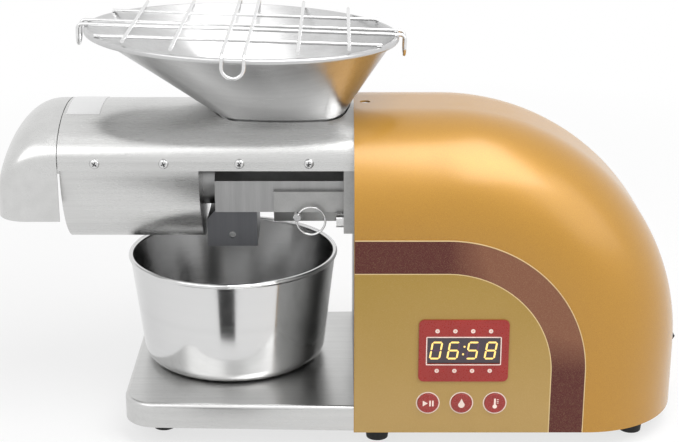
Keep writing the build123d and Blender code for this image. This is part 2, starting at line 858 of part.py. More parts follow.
def saddle():
    """Saddle under the chamber, the locking pin across it and the pin's pull ring."""
    half = saddle_half_width
    outline = Polygon(
        (-half, saddle_top),
        (-half, saddle_foot + saddle_chamfer_height),
        (saddle_chamfer_depth - half, saddle_foot),
        (half - saddle_chamfer_depth, saddle_foot),
        (half, saddle_foot + saddle_chamfer_height),
        (half, saddle_top),
        align=None,
    )
    body = along_x(outline, saddle_left, plate_left)
    pocket = Pos(0, (chamber_foot + saddle_top + 1) / 2) * Rectangle(
        2 * (chamber_half_width + bolt_gap), saddle_top + 1 - chamber_foot)
    body -= along_x(pocket, saddle_left - 1, plate_left + 1)
    body -= rod_y(pin_x, pin_height, pin_radius + running_gap, -half - 1, half + 1)
    pin_start = -half - pin_reach
    pin = rod_y(pin_x, pin_height, pin_radius, pin_start, half + 1)
    pin = chamfer(pin.edges().filter_by(GeomType.CIRCLE), 0.5)
    ring_y = pin_start + ring_setback
    droop = radians(ring_droop)
    hole = Pos(pin_x, ring_y, pin_height) * Rot(0, ring_droop, 0) * Cylinder(ring_hole, pin_radius * 4)
    pin -= hole
    centre = (pin_x + ring_radius * cos(droop), ring_y, pin_height - ring_radius * sin(droop))
    ring = Pos(*centre) * Rot(90, 0, 0) * Torus(ring_radius, ring_wire)
    return {"chamber_saddle": body, "locking_pin": pin, "pin_ring": ring}


def press_screw():
    """Press screw: a core that thickens towards the nose, one helical flight and a hexagon drive."""
    length = screw_flight_start - screw_tip
    core = Plane(origin=(screw_tip, 0, screw_axis_height), z_dir=(1, 0, 0)) * Cone(
        screw_end_root_radius, screw_root_radius, length, align=(Align.CENTER, Align.CENTER, Align.MIN))
    core += rod_x(0, screw_axis_height, screw_outer_radius, screw_flight_start, chamber_right - loose_gap)
    socket_reach = housing_front + hex_length
    hexagon = RegularPolygon(hex_across_flats / 2 - running_gap, 6, major_radius=False)
    drive = Pos(0, screw_axis_height) * hexagon
    core += along_x(drive, chamber_right - loose_gap, socket_reach - loose_gap)
    turns_length = length - flight_thickness * 2
    helix = Helix(screw_pitch, turns_length, screw_root_radius)
    depth = screw_outer_radius - screw_root_radius + 1.2
    start_plane = Plane(origin=helix @ 0, x_dir=(1, 0, 0), z_dir=helix % 0)
    flight_section = start_plane * Pos(depth / 2 - 1.2, 0) * Rectangle(
        depth, flight_thickness)
    flight = sweep(flight_section, path=helix, is_frenet=True)
    flight = Plane(origin=(screw_tip + flight_thickness, 0, screw_axis_height), z_dir=(1, 0, 0)) * flight
    return {"press_screw": core + flight}


def gear(teeth, module, bore, face, phase):
    """Spur gear with its axis on X at the origin; the middle of a tooth points along phase degrees."""
    pitch_radius = teeth * module / 2
    base_radius = pitch_radius * cos(radians(pressure_angle))
    tip_radius = pitch_radius + addendum_share * module
    root_radius = pitch_radius - dedendum_share * module
    half_tooth = tooth_share * pi / (2 * teeth) + tan(radians(pressure_angle)) - radians(pressure_angle)

    def half_angle(radius):
        roll = acos(min(1.0, base_radius / radius))
        return half_tooth - (tan(roll) - roll)

    corners = []
    for tooth in range(teeth):
        middle = radians(phase) + 2 * pi * tooth / teeth
        for radius, side in ((root_radius, -1), (tip_radius, -1), (tip_radius, 1), (root_radius, 1)):
            turn = middle + side * half_angle(radius)
            corners.append((radius * cos(turn), radius * sin(turn)))
    outline = make_face(Polyline(*corners, close=True))
    return extrude(Plane.YZ * (outline - Circle(bore)), amount=face, dir=(1, 0, 0))


def pair_distance(teeth, module):
    """Centre distance of a gear and the pinion that drives it."""
    return (teeth + pinion_teeth) * module / 2


def lower_shaft(upper, y, distance):
    """Axis of the next shaft down, at a given y and centre distance, in (y, z)."""
    return (y, upper[1] - sqrt(distance ** 2 - (y - upper[0]) ** 2))


output_axis = (0.0, screw_axis_height)
second_axis = lower_shaft(output_axis, second_shaft_y, pair_distance(output_teeth, output_module))
first_axis = lower_shaft(second_axis, first_shaft_y, pair_distance(second_teeth, second_module))
motor_axis = lower_shaft(first_axis, motor_y, pair_distance(first_teeth, first_module))


def gear_pair(driven_axis, driver_axis, teeth, module, driven_bore, driver_bore, left, face):
    """A driven gear and its pinion in mesh: a tooth of the pinion lies in a gap of the gear."""
    direction = degrees(atan2(driver_axis[1] - driven_axis[1], driver_axis[0] - driven_axis[0]))
    driven = gear(teeth, module, driven_bore, face, direction + 180 / teeth)
    driver = gear(pinion_teeth, module, driver_bore, face, direction + 180)
    return Pos(left, *driven_axis) * driven, Pos(left, *driver_axis) * driver


def gearcase_outline(inset):
    """Outline of the gear case in (y, z): round at the top, upright sides."""
    top = gearcase_top - inset
    foot = gearcase_foot + inset
    outline = Pos(0, (top + foot) / 2) * Rectangle(2 * (gearcase_half_width - inset), top - foot)
    upper = outline.vertices().group_by(Axis.Y)[-1]
    outline = fillet(upper, gearcase_corner - inset)
    lower = outline.vertices().group_by(Axis.Y)[0]
    return fillet(lower, 8)


def bearing(axis, outer, inner, start, end):
    """Bearing around a shaft, with a running gap at its bore."""
    return tube_x(*axis, outer, inner + running_gap, start, end)


def gearbox():
    """Gear case, cover, bearings, shafts and the three pairs of gears."""
    case = along_x(gearcase_outline(0), gearcase_front, cavity_back)
    case -= along_x(gearcase_outline(gearcase_wall), cavity_front, cavity_back + 1)
    cover = along_x(gearcase_outline(0), cavity_back, gearcase_back)
    case -= rod_x(*output_axis, output_bearing_radius, gearcase_front - 1, cavity_front + 1)
    cover -= rod_x(*output_axis, tail_bearing_radius, cavity_back - 1, gearcase_back + 1)
    for axis in (second_axis, first_axis):
        case -= rod_x(*axis, lay_bearing_radius, gearcase_front - 1, cavity_front + 1)
        cover -= rod_x(*axis, lay_bearing_radius, cavity_back - 1, gearcase_back + 1)
    cover -= rod_x(*motor_axis, motor_spigot_radius, cavity_back - 1, gearcase_back + 1)

    bearings = [
        bearing(output_axis, output_bearing_radius, output_shaft_radius, housing_front, cavity_front),
        bearing(output_axis, tail_bearing_radius, output_tail_radius, cavity_back, gearcase_back),
    ]
    thrust_left = cavity_back - thrust_width
    thrust = bearing(
        output_axis, tail_bearing_radius, output_tail_radius, thrust_left + running_gap, cavity_back)
    for axis in (second_axis, first_axis):
        for start, end in ((gearcase_front, cavity_front), (cavity_back, gearcase_back)):
            bearings.append(bearing(axis, lay_bearing_radius, layshaft_radius, start, end))

    output_shaft = rod_x(*output_axis, output_shaft_radius, housing_front - plate_thickness + 1, thrust_left)
    output_shaft += rod_x(*output_axis, output_tail_radius, thrust_left, gearcase_back)
    socket = Pos(*output_axis) * RegularPolygon(hex_across_flats / 2 + running_gap, 6, major_radius=False)
    output_shaft -= along_x(socket, housing_front - plate_thickness, housing_front + hex_length)
    shafts = [rod_x(*axis, layshaft_radius, gearcase_front + 0.5, gearcase_back - 0.5)
              for axis in (second_axis, first_axis)]

    output_gear, second_pinion = gear_pair(
        output_axis, second_axis, output_teeth, output_module,
        output_shaft_radius, layshaft_radius, output_left, output_face)
    second_gear, first_pinion = gear_pair(
        second_axis, first_axis, second_teeth, second_module,
        layshaft_radius, layshaft_radius, second_left, second_face)
    first_gear, motor_pinion = gear_pair(
        first_axis, motor_axis, first_teeth, first_module,
        layshaft_radius, motor_shaft_radius, first_left, first_face)
    return {
        "gear_case": case,
        "gear_case_cover": cover,
        "shaft_bearings": group(bearings),
        "thrust_bearing": thrust,
        "output_shaft": output_shaft,
        "output_gear": output_gear,
        "second_layshaft": shafts[0] + second_pinion,
        "second_gear": second_gear,
        "first_layshaft": shafts[1] + first_pinion,
        "first_gear": first_gear,
        "motor_pinion": motor_pinion,
    }


def motor():
    """Motor with its can, magnets, end caps, rotor and cooling fan."""
    front = gearcase_back
    back = motor_back
    can = tube_x(*motor_axis, motor_radius, motor_radius - motor_wall, front, back)
    seat = motor_radius - motor_wall
    shaft_hole = motor_shaft_radius + running_gap
    end_caps = [
        tube_x(*motor_axis, seat, shaft_hole, front, front + motor_cap_thickness),
        tube_x(*motor_axis, seat, shaft_hole, back - motor_cap_thickness, back),
    ]
    rotor_left = front + (motor_length - rotor_length) / 2 - motor_cap_thickness
    rotor_right = rotor_left + rotor_length
    magnet = tube_x(*motor_axis, seat, seat - magnet_thickness, rotor_left, rotor_right)
    keep_out = Pos(*motor_axis) * Rectangle(motor_radius * 0.6, motor_radius * 2)
    magnets = magnet - along_x(keep_out, rotor_left - 1, rotor_right + 1)
    rotor = rod_x(*motor_axis, rotor_radius, rotor_left, rotor_right)
    commutator_right = rotor_right + 3 + commutator_length
    rotor += rod_x(*motor_axis, commutator_radius, rotor_right, commutator_right)
    shaft = rod_x(*motor_axis, motor_shaft_radius, first_left - 1, back + fan_width + 3)
    rotor -= rod_x(*motor_axis, motor_shaft_radius, rotor_left - 1, commutator_right + 1)
    fan_left = back + 2
    fan = tube_x(*motor_axis, fan_hub_radius, motor_shaft_radius, fan_left, fan_left + fan_width)
    span = fan_radius - fan_hub_radius + 1
    for step in range(fan_blades):
        blade_place = Pos(0, fan_hub_radius - 1 + span / 2, 0)
        blade = blade_place * Rot(0, 35, 0) * Box(fan_width, span, blade_thickness)
        turned = Pos(fan_left + fan_width / 2, *motor_axis) * Rot(360 * step / fan_blades, 0, 0) * blade
        fan += turned
    return {
        "motor_can": can,
        "motor_end_caps": group(end_caps),
        "motor_magnets": magnets,
        "motor_shaft": shaft,
        "motor_rotor": rotor,
        "cooling_fan": fan,
    }


def control_panel():
    """Printed film, display, indicator lamps, push buttons and the board behind them."""
    film = along_y(panel_outline(film_inset), panel_face - film_thickness, panel_face)
    film -= panel_openings(panel_face - film_thickness - 1, panel_face + 1)
    bezel_back = panel_face - film_thickness
    bezel = Pos(bezel_x, bezel_z) * RectangleRounded(bezel_width, bezel_height, bezel_corner)
    bezel = along_y(bezel, bezel_back - bezel_thickness, bezel_back)
    bezel -= panel_openings(bezel_back - bezel_thickness - 1, bezel_back + 1)
    board_face = panel_inner + board_setback
    board_z = (board_foot + board_top) / 2
    board = Pos(bezel_x, board_z) * Rectangle(board_width, board_top - board_foot)
    board = along_y(board, board_face, board_face + board_thickness)
    display = Pos(bezel_x, bezel_z) * Rectangle(window_width - 2 * bolt_gap, window_height - 2 * bolt_gap)
    display = along_y(display, panel_face - film_thickness, board_face)
    lamps = [rod_y(x, z, led_radius, bezel_back - bezel_thickness, board_face) for x, z in led_centres()]
    switch_face = board_face - switch_size * 0.6
    buttons = {}
    names = ("start_button", "oil_button", "temperature_button")
    for name, x in zip(names, button_places):
        board += along_y(Pos(x, button_z) * Rectangle(switch_size, switch_size), switch_face, board_face)
        flange_face = panel_inner
        cap = rod_y(x, button_z, button_radius, panel_face - film_thickness - button_proud, flange_face)
        cap = fillet(cap.faces().sort_by(Axis.Y)[0].edges(), button_proud * 0.5)
        cap += rod_y(x, button_z, button_radius + button_flange, flange_face, flange_face + 1)
        tip = switch_face - button_travel - running_gap
        buttons[name] = cap + rod_y(x, button_z, stem_radius, flange_face + 1, tip)
    pillars = []
    for x_side in (-1, 1):
        for z_side in (-1, 1):
            x = bezel_x + x_side * (board_width / 2 - pillar_radius * 1.5)
            z = board_z + z_side * ((board_top - board_foot) / 2 - pillar_radius * 1.5)
            pillars.append(rod_y(x, z, pillar_radius, panel_inner, board_face))
    return {
        "panel_film": film,
        "display_bezel": bezel,
        "control_board": board,
        "display_module": display,
        "indicator_lamps": group(lamps),
        "board_pillars": group(pillars),
        **buttons,
    }


def power_switch():
    """Rocker switch at the rear: its frame and the rocker, tipped to its off stop."""
    wall = housing_rear
    flange = Pos(0, switch_z) * Rectangle(switch_width, switch_height)
    body = Pos(0, switch_z) * Rectangle(
        switch_width - 2 * (switch_flange + bolt_gap), switch_height - 2 * (switch_flange + bolt_gap))
    frame = along_x(flange, wall, wall + switch_frame)
    frame += along_x(body, wall - switch_depth, wall)
    well = Pos(0, switch_z) * Rectangle(rocker_width + 2 * loose_gap, 2 * (rocker_radius + loose_gap))
    frame -= along_x(well, wall - switch_depth + 1.5, wall + switch_frame + 1)
    horn = acos((rocker_dish_offset ** 2 + rocker_radius ** 2 - rocker_dish_radius ** 2)
                / (2 * rocker_dish_offset * rocker_radius))
    pivot_x = rocker_face - rocker_radius * cos(horn - radians(rocker_throw / 2))
    pin_end = rocker_width / 2 + loose_gap + rocker_pin_reach
    frame -= rod_y(
        pivot_x, switch_z, rocker_pin_radius + running_gap, -pin_end - loose_gap, pin_end + loose_gap)
    drum = rod_y(pivot_x, switch_z, rocker_radius, -rocker_width / 2, rocker_width / 2)
    dish = rod_y(pivot_x + rocker_dish_offset, switch_z, rocker_dish_radius, -rocker_width, rocker_width)
    back = Box(
        rocker_radius * 2, rocker_width * 2, rocker_radius * 4, align=(Align.MAX, Align.CENTER, Align.CENTER))
    rocker = drum - dish - Pos(pivot_x - rocker_pin_radius, 0, switch_z) * back
    rocker = rocker.rotate(Axis((pivot_x, 0, switch_z), (0, 1, 0)), rocker_throw / 2)
    rocker += rod_y(pivot_x, switch_z, rocker_pin_radius, -pin_end, pin_end)
    return {"power_switch_frame": frame, "power_rocker": rocker}


def power_inlet():
    """Power inlet on the far side: a recessed socket with three contact blades."""
    face = housing_half_width
    flange = Pos(inlet_x, inlet_z) * RectangleRounded(inlet_width, inlet_height, 2)
    body = Pos(inlet_x, inlet_z) * Rectangle(
        inlet_width - 2 * (inlet_flange + bolt_gap), inlet_height - 2 * (inlet_flange + bolt_gap))
    socket = Pos(inlet_x, inlet_z) * Rectangle(
        inlet_width - 2 * (inlet_flange + 1.7), inlet_height - 2 * (inlet_flange + 1.7))
    inlet = along_y(flange, face, face + inlet_flange)
    inlet += along_y(body, face - inlet_depth, face)
    inlet -= along_y(socket, face - inlet_depth + 2, face + inlet_flange + 1)
    blades = []
    thickness, height, length = inlet_blade
    for x_step, z_step in ((-1, -0.25), (0, 0.3), (1, -0.25)):
        blade = Pos(inlet_x + x_step * inlet_blade_pitch, inlet_z + z_step * inlet_blade_pitch) * Rectangle(
            thickness, height)
        blades.append(along_y(blade, face - inlet_depth + 2, face - inlet_depth + 2 + length))
    return {"power_inlet": inlet, "inlet_blades": group(blades)}


def power_board():
    """Power board on pillars over the base plate, with its transformer and capacitors."""
    foot = foot_height + base_thickness
    top = foot + power_board_rise
    outline = Pos(power_board_x, power_board_y) * Rectangle(power_board_length, power_board_width)
    board = along_z(outline, top, top + board_thickness)
    for x_side in (-1, 1):
        for y_side in (-1, 1):
            x = power_board_x + x_side * (power_board_length / 2 - 4)
            y = power_board_y + y_side * (power_board_width / 2 - 4)
            board += rod_z(x, y, pillar_radius, foot, top)
    component_foot = top + board_thickness
    transformer = Pos(power_board_x - 16, power_board_y) * Rectangle(22, 26)
    board += along_z(transformer, component_foot, component_foot + 20)
    for y_side in (-1, 1):
        board += rod_z(
            power_board_x + 12, power_board_y + y_side * 10, 6, component_foot, component_foot + 18)
    return {"power_board": board}


def funnel(inset, spout_foot):
    """Solid form of the hopper: a spout, then a square throat that opens to an oval rim."""
    spout = Pos(throat_x, 0, spout_foot) * RectangleRounded(
        spout_length - 2 * inset, spout_width - 2 * inset, spout_corner - inset)
    throat = Pos(throat_x, 0, throat_height) * RectangleRounded(
        throat_length - 2 * inset, throat_width - 2 * inset, throat_corner - inset)
    rim = rim_plane * Ellipse(rim_half_length - inset, rim_half_width - inset)
    return loft([spout, throat], ruled=True) + loft([throat, rim], ruled=True)


def hopper():
    """Sheet-metal hopper with an eccentric square-to-oval funnel and a beaded rim."""
    foot = chamber_crown + loose_gap
    outer = funnel(0, foot)
    inner = funnel(hopper_wall, foot)
    lower = Pos(throat_x, 0, foot - 1) * extrude(RectangleRounded(
        spout_length - 2 * hopper_wall, spout_width - 2 * hopper_wall,
        spout_corner - hopper_wall), amount=1.5)
    shell = outer - inner - lower
    bead = Ellipse(
        rim_half_length + rim_bead_width - hopper_wall, rim_half_width + rim_bead_width - hopper_wall)
    bead -= Ellipse(rim_half_length - hopper_wall, rim_half_width - hopper_wall)
    bead = extrude(bead, amount=rim_bead_height)
    bead = fillet(bead.edges(), rim_bead_width * 0.45)
    shell += rim_plane * Pos(0, 0, -rim_bead_height) * bead
    return {"hopper": shell}


def guard_reach(half_along, half_across, place):
    """How far a straight wire runs out to the oval rim, at a distance from the rim's centre."""
    return half_along * sqrt(1 - (place / half_across) ** 2)


def hook_loop(reach, height):
    """Half of a wire loop: along the guard, down over the rim, round and back."""
    end = reach + wire_overhang + wire_radius
    low = height - hook_drop
    half = loop_half_width
    path = FilletPolyline(
        (0, -half, height), (end, -half, height), (end, -half, low),
        (end, half, low), (end, half, height), (0, half, height),
        radius=[hook_bend, half - 0.05, half - 0.05, hook_bend],
    )
    section = Plane(origin=path @ 0, z_dir=path % 0) * Circle(wire_radius)
    return sweep(section, path=path)


def wire_guard():
    """Welded wire guard that lies on the rim and hooks over it at four places."""
    lower = wire_radius
    upper = lower + 2 * wire_radius - wire_sink
    length = rim_half_length + rim_bead_width - hopper_wall
    width = rim_half_width + rim_bead_width - hopper_wall
    pieces = [hook_loop(length, lower), Rot(0, 0, 180) * hook_loop(length, lower)]
    pieces += [Rot(0, 0, 90) * hook_loop(width, upper), Rot(0, 0, -90) * hook_loop(width, upper)]
    for y in long_wire_places:
        reach = guard_reach(length, width, y) - wire_radius
        pieces.append(rod_x(y, lower, wire_radius, -reach, reach))
    for x in cross_wire_places:
        reach = guard_reach(width, length, x) - wire_radius
        pieces.append(rod_y(x, upper, wire_radius, -reach, reach))
    guard = pieces[0]
    for piece in pieces[1:]:
        guard += piece
    return {"wire_guard": rim_plane * guard}


def all_nodes():
    """Every node of the press, by name."""
    makers = (
        housing, feet, bowl_stand, bowl, hood, shroud, nose_cap, front_plate, pressing_chamber,
        nozzle, heater, oil_chute, saddle, press_screw, gearbox, motor, control_panel, power_switch,
        power_inlet, power_board, hopper, wire_guard,
    )
    nodes = {}
    for maker in makers:
        nodes.update(maker())
    return nodes


os.makedirs("parts", exist_ok=True)
for node_name, node_shape in all_nodes().items():
    export_step(node_shape, f"parts/{node_name}.step")
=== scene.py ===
"""Finish, small visible details and studio for a tabletop screw oil press.

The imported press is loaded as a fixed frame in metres. Each sub-assembly is a class
that dresses its own nodes and adds the prints, marks and small fasteners that are
too fine for the solids.
"""
from __future__ import annotations

import json
import logging
import math
from dataclasses import dataclass, field
from enum import Enum, auto
from typing import Callable, Sequence

import bmesh
import bpy
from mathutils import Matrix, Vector

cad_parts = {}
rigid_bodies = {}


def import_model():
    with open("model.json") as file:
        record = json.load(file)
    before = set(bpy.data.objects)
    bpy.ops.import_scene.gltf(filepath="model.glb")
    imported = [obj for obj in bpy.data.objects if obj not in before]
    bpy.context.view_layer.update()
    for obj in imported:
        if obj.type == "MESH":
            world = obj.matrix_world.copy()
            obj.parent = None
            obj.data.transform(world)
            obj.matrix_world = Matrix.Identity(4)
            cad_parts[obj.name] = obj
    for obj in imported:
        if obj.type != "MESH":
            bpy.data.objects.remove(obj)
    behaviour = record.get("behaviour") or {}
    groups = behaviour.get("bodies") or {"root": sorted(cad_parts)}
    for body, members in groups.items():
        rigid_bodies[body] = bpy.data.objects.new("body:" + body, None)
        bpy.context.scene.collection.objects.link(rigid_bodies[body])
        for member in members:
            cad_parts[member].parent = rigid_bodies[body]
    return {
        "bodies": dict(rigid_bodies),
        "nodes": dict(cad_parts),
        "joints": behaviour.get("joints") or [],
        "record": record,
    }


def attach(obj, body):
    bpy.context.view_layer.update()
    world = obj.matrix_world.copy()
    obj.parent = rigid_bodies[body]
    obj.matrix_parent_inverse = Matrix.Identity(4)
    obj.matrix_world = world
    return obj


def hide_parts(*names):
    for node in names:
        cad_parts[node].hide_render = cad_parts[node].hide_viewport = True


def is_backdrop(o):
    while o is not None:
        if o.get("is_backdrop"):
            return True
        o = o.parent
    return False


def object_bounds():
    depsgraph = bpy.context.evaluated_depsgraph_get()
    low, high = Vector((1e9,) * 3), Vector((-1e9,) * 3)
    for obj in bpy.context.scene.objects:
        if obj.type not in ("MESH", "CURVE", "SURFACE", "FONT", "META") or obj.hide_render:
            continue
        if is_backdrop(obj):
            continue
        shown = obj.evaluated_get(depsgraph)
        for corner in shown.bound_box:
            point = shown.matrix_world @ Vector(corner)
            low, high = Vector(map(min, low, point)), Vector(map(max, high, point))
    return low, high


LOG = logging.getLogger("oil_press")
MM = 0.001
PRESS_BODY = "press_frame"
BOWL_AXIS = (-71.8 * MM, 10 * MM, 0.0)
GRAIN_STRETCH = 60
SHARP_ANGLE = 35

Colour = tuple[float, float, float]
Point = tuple[float, float, float]
Spot = tuple[float, float]
ToPoint = Callable[[float, float, float], Point]
Box = list[list[float]]
Socket = bpy.types.NodeSocket
Value = Socket | Colour | float
Material = bpy.types.Material
Mesh = bmesh.types.BMesh
Vert = bmesh.types.BMVert


def srgb(red: int, green: int, blue: int) -> Colour:
    """Turn a display colour into scene-linear values.

    Args:
        red: Red, 0 to 255.
        green: Green, 0 to 255.
        blue: Blue, 0 to 255.

    Returns:
        The linear red, green and blue, 0 to 1.
    """
    def linear(value: int) -> float:
        """Undo the display curve for one channel."""
        share = value / 255
        return share / 12.92 if share <= 0.04045 else ((share + 0.055) / 1.055) ** 2.4

    return linear(red), linear(green), linear(blue)


def scaled(colour: Colour, factor: float) -> Colour:
    """Make a colour darker or lighter by one factor."""
    return colour[0] * factor, colour[1] * factor, colour[2] * factor


class Grain(Enum):
    """Direction that the fine lines of a worked metal run in."""

    ALONG_X = auto()
    ALONG_Z = auto()
    AROUND_Z = auto()
    NONE = auto()


class NodeTree:
    """Small builder for the nodes of one material or world."""

    def __init__(self, tree: bpy.types.NodeTree) -> None:
        """Empty the tree of a material or a world, to fill it."""
        self.tree = tree
        self.tree.nodes.clear()

    def add(self, kind: str) -> bpy.types.Node:
        """Add one node of a kind."""
        return self.tree.nodes.new(kind)

    def join(self, source: Socket, target: Socket) -> None:
        """Link an output to an input."""
        self.tree.links.new(source, target)

    def feed(self, target: Socket, value: Value) -> None:
        """Link a socket, or set it when the value is plain.

        Args:
            target: The input to feed.
            value: An output socket, a number or a tuple. A colour gets its fourth value here.
        """
        if isinstance(value, Socket):
            self.join(value, target)
        elif target.type == "RGBA":
            target.default_value = (*value, 1.0)
        else:
            target.default_value = value

    def fill(self, node: bpy.types.Node, **values: Value) -> bpy.types.Node:
        """Feed a node's inputs.

        Args:
            node: The node.
            **values: Inputs by name, with an underscore for each space.

        Returns:
            The same node.
        """
        for name, value in values.items():
            self.feed(node.inputs[name.replace("_", " ").title().replace("Ior", "IOR")], value)
        return node

    def math(self, operation: str, first: Value, second: Value = 0.0) -> Socket:
        """Add a Math node.

        Args:
            operation: The node's operation.
            first: First input, a socket or a number.
            second: Second input.

        Returns:
            The node's value output.
        """
        node = self.add("ShaderNodeMath")
        node.operation = operation
        self.feed(node.inputs[0], first)
        self.feed(node.inputs[1], second)
        return node.outputs[0]

    def length(self, x: Value, y: Value) -> Socket:
        """Length of the vector from zero to x, y."""
        squares = [self.math("MULTIPLY", value, value) for value in (x, y)]
        return self.math("SQRT", self.math("ADD", *squares))

    def white(self, kind: str, strength: float) -> Socket:
        """Add a white Emission or Background node and give its output."""
        return self.fill(self.add(kind), color=(1.0, 1.0, 1.0), strength=strength).outputs[0]

    def mix_shaders(self, share: Socket, first: Socket, second: Socket) -> Socket:
        """Mix two shaders.

        Args:
            share: How much of the second shader, 0 to 1.
            first: Output of the first shader.
            second: Output of the second shader.

        Returns:
            The mixed shader.
        """
        node = self.add("ShaderNodeMixShader")
        for socket, source in zip(node.inputs, (share, first, second)):
            self.join(source, socket)
        return node.outputs[0]

    def seen_directly(self) -> Socket:
        """1 for rays of the camera and of mirrors and glass, which all meet the white background."""
        path = self.add("ShaderNodeLightPath").outputs
        direct = self.math("MAXIMUM", path["Is Camera Ray"], path["Is Glossy Ray"])
        return self.math("MAXIMUM", direct, path["Is Transmission Ray"])


class Graph(NodeTree):
    """Small builder for one material round a Principled shader."""

    def __init__(self, name: str) -> None:
        """Start a material of a name that holds one Principled shader."""
        self.material = bpy.data.materials.new(name)
        self.material.use_nodes = True
        super().__init__(self.material.node_tree)
        self.output = self.add("ShaderNodeOutputMaterial")
        self.shader = self.add("ShaderNodeBsdfPrincipled")
        self.join(self.shader.outputs["BSDF"], self.output.inputs["Surface"])
        self.place = self.add("ShaderNodeTexCoord").outputs["Object"]

    def axes(self) -> tuple[Socket, Socket, Socket]:
        """Split the object's own place into x, y and z."""
        return tuple(self.fill(self.add("ShaderNodeSeparateXYZ"), vector=self.place).outputs)

    def stretched(self, scale: Point) -> Socket:
        """Scale the object's own place by a different factor along each axis."""
        node = self.add("ShaderNodeVectorMath")
        node.operation = "MULTIPLY"
        self.join(self.place, node.inputs[0])
        node.inputs[1].default_value = scale
        return node.outputs[0]

    def noise(self, scale: float, detail: float = 3.0, rough: float = 0.5,
              at: Socket | None = None) -> Socket:
        """Add a noise texture.

        Args:
            scale: Cells per unit.
            detail: Number of finer layers.
            rough: Strength of the finer layers.
            at: Where to read it, or None for the object's own place.

        Returns:
            The noise value, about 0.2 to 0.8.
        """
        node = self.add("ShaderNodeTexNoise")
        self.fill(node, vector=at or self.place, scale=scale, detail=detail, roughness=rough)
        return node.outputs["Fac"]

    def remap(self, value: Value, low: float, high: float, out_low: float = 0.0,
              out_high: float = 1.0) -> Socket:
        """Map one range of values to another, clamped.

        Args:
            value: The input.
            low: Start of the input range.
            high: End of the input range.
            out_low: Result at low.
            out_high: Result at high.

        Returns:
            The mapped value.
        """
        node = self.add("ShaderNodeMapRange")
        for socket, number in zip(node.inputs, (value, low, high, out_low, out_high)):
            self.feed(socket, number)
        return node.outputs[0]

    def blend(self, share: Value, first: Value, second: Value) -> Socket:
        """Mix two colours.

        Args:
            share: How much of the second colour, 0 to 1.
            first: First colour, a socket or a tuple.
            second: Second colour.

        Returns:
            The mixed colour.
        """
        node = self.add("ShaderNodeMix")
        node.data_type = "RGBA"
        for number, value in ((0, share), (6, first), (7, second)):
            self.feed(node.inputs[number], value)
        return node.outputs[2]

    def mottle(self, pattern: Socket, colour: Colour, low: float, high: float, edge: float = 0.35) -> Socket:
        """Vary a colour from one factor, where a pattern is under its edge, to another over 1 - edge."""
        return self.blend(self.remap(pattern, edge, 1 - edge), scaled(colour, low), scaled(colour, high))

    def bump(self, height: Socket, depth_mm: float, strength: float = 1.0) -> None:
        """Raise the surface by a height of 0 to 1, where 1 stands for the depth."""
        node = self.fill(self.add("ShaderNodeBump"), strength=strength, distance=depth_mm * MM, height=height)
        self.fill(self.shader, normal=node.outputs["Normal"])

    def shade(self, **values: Value) -> Material:
        """Feed the Principled shader by the names of its inputs, and hand over the material."""
        self.fill(self.shader, **values)
        return self.material

    def grain_place(self, grain: Grain, fineness: float, centre: Point = (0, 0, 0)) -> Socket:
        """Place for a noise that is drawn out along the grain.

        Args:
            grain: Direction of the lines.
            fineness: Lines per metre across the grain.
            centre: A point on the axis of a turned piece, in metres.

        Returns:
            The vector to read the noise at.
        """
        along = fineness / GRAIN_STRETCH
        if grain is Grain.ALONG_X:
            return self.stretched((along, fineness, fineness))
        if grain is Grain.ALONG_Z:
            return self.stretched((fineness, fineness, along))
        if grain is Grain.AROUND_Z:
            x, y, z = self.axes()
            radius = self.length(self.math("SUBTRACT", x, centre[0]), self.math("SUBTRACT", y, centre[1]))
            around, up = (self.math("MULTIPLY", value, fineness) for value in (radius, z))
            return self.fill(self.add("ShaderNodeCombineXYZ"), x=around, y=up).outputs[0]
        return self.stretched((fineness, fineness, fineness))


class Finish:
    """A surface finish that can be made into a material."""

    def make(self, name: str) -> Material:
        """Build the material under a name."""
        raise NotImplementedError


@dataclass(frozen=True)
class WorkedMetal(Finish):
    """Bare metal with fine lines from brushing, turning or milling, and faint handling marks."""

    colour: Colour
    roughness: float = 0.28
    grain: Grain = Grain.ALONG_X
    fineness: float = 5200.0
    broad_lines: float = 14.0
    line_depth: float = 0.006
    shade_change: float = 0.05
    smudge: float = 0.07
    centre: Point = (0.0, 0.0, 0.0)

    def make(self, name: str) -> Material:
        """Build the worked metal."""
        graph = Graph(name)
        fine_place, broad_place = (graph.grain_place(self.grain, fineness, self.centre)
                                   for fineness in (self.fineness, self.fineness / self.broad_lines))
        lines = graph.noise(1.0, 2.0, 0.6, at=fine_place)
        broad = graph.noise(1.0, 2.0, at=broad_place)
        marks = graph.noise(26.0, 4.0, 0.6)
        darker = graph.math("MULTIPLY", graph.math("ADD", lines, broad), 0.5)
        colour = graph.mottle(darker, self.colour, 1 - self.shade_change, 1 + self.shade_change)
        rough = graph.math("ADD", graph.remap(lines, 0.3, 0.7, self.roughness - 0.03, self.roughness + 0.03),
                           graph.remap(marks, 0.5, 0.72, 0.0, self.smudge))
        graph.bump(lines, self.line_depth, 0.5)
        return graph.shade(base_color=colour, metallic=1.0, roughness=rough)


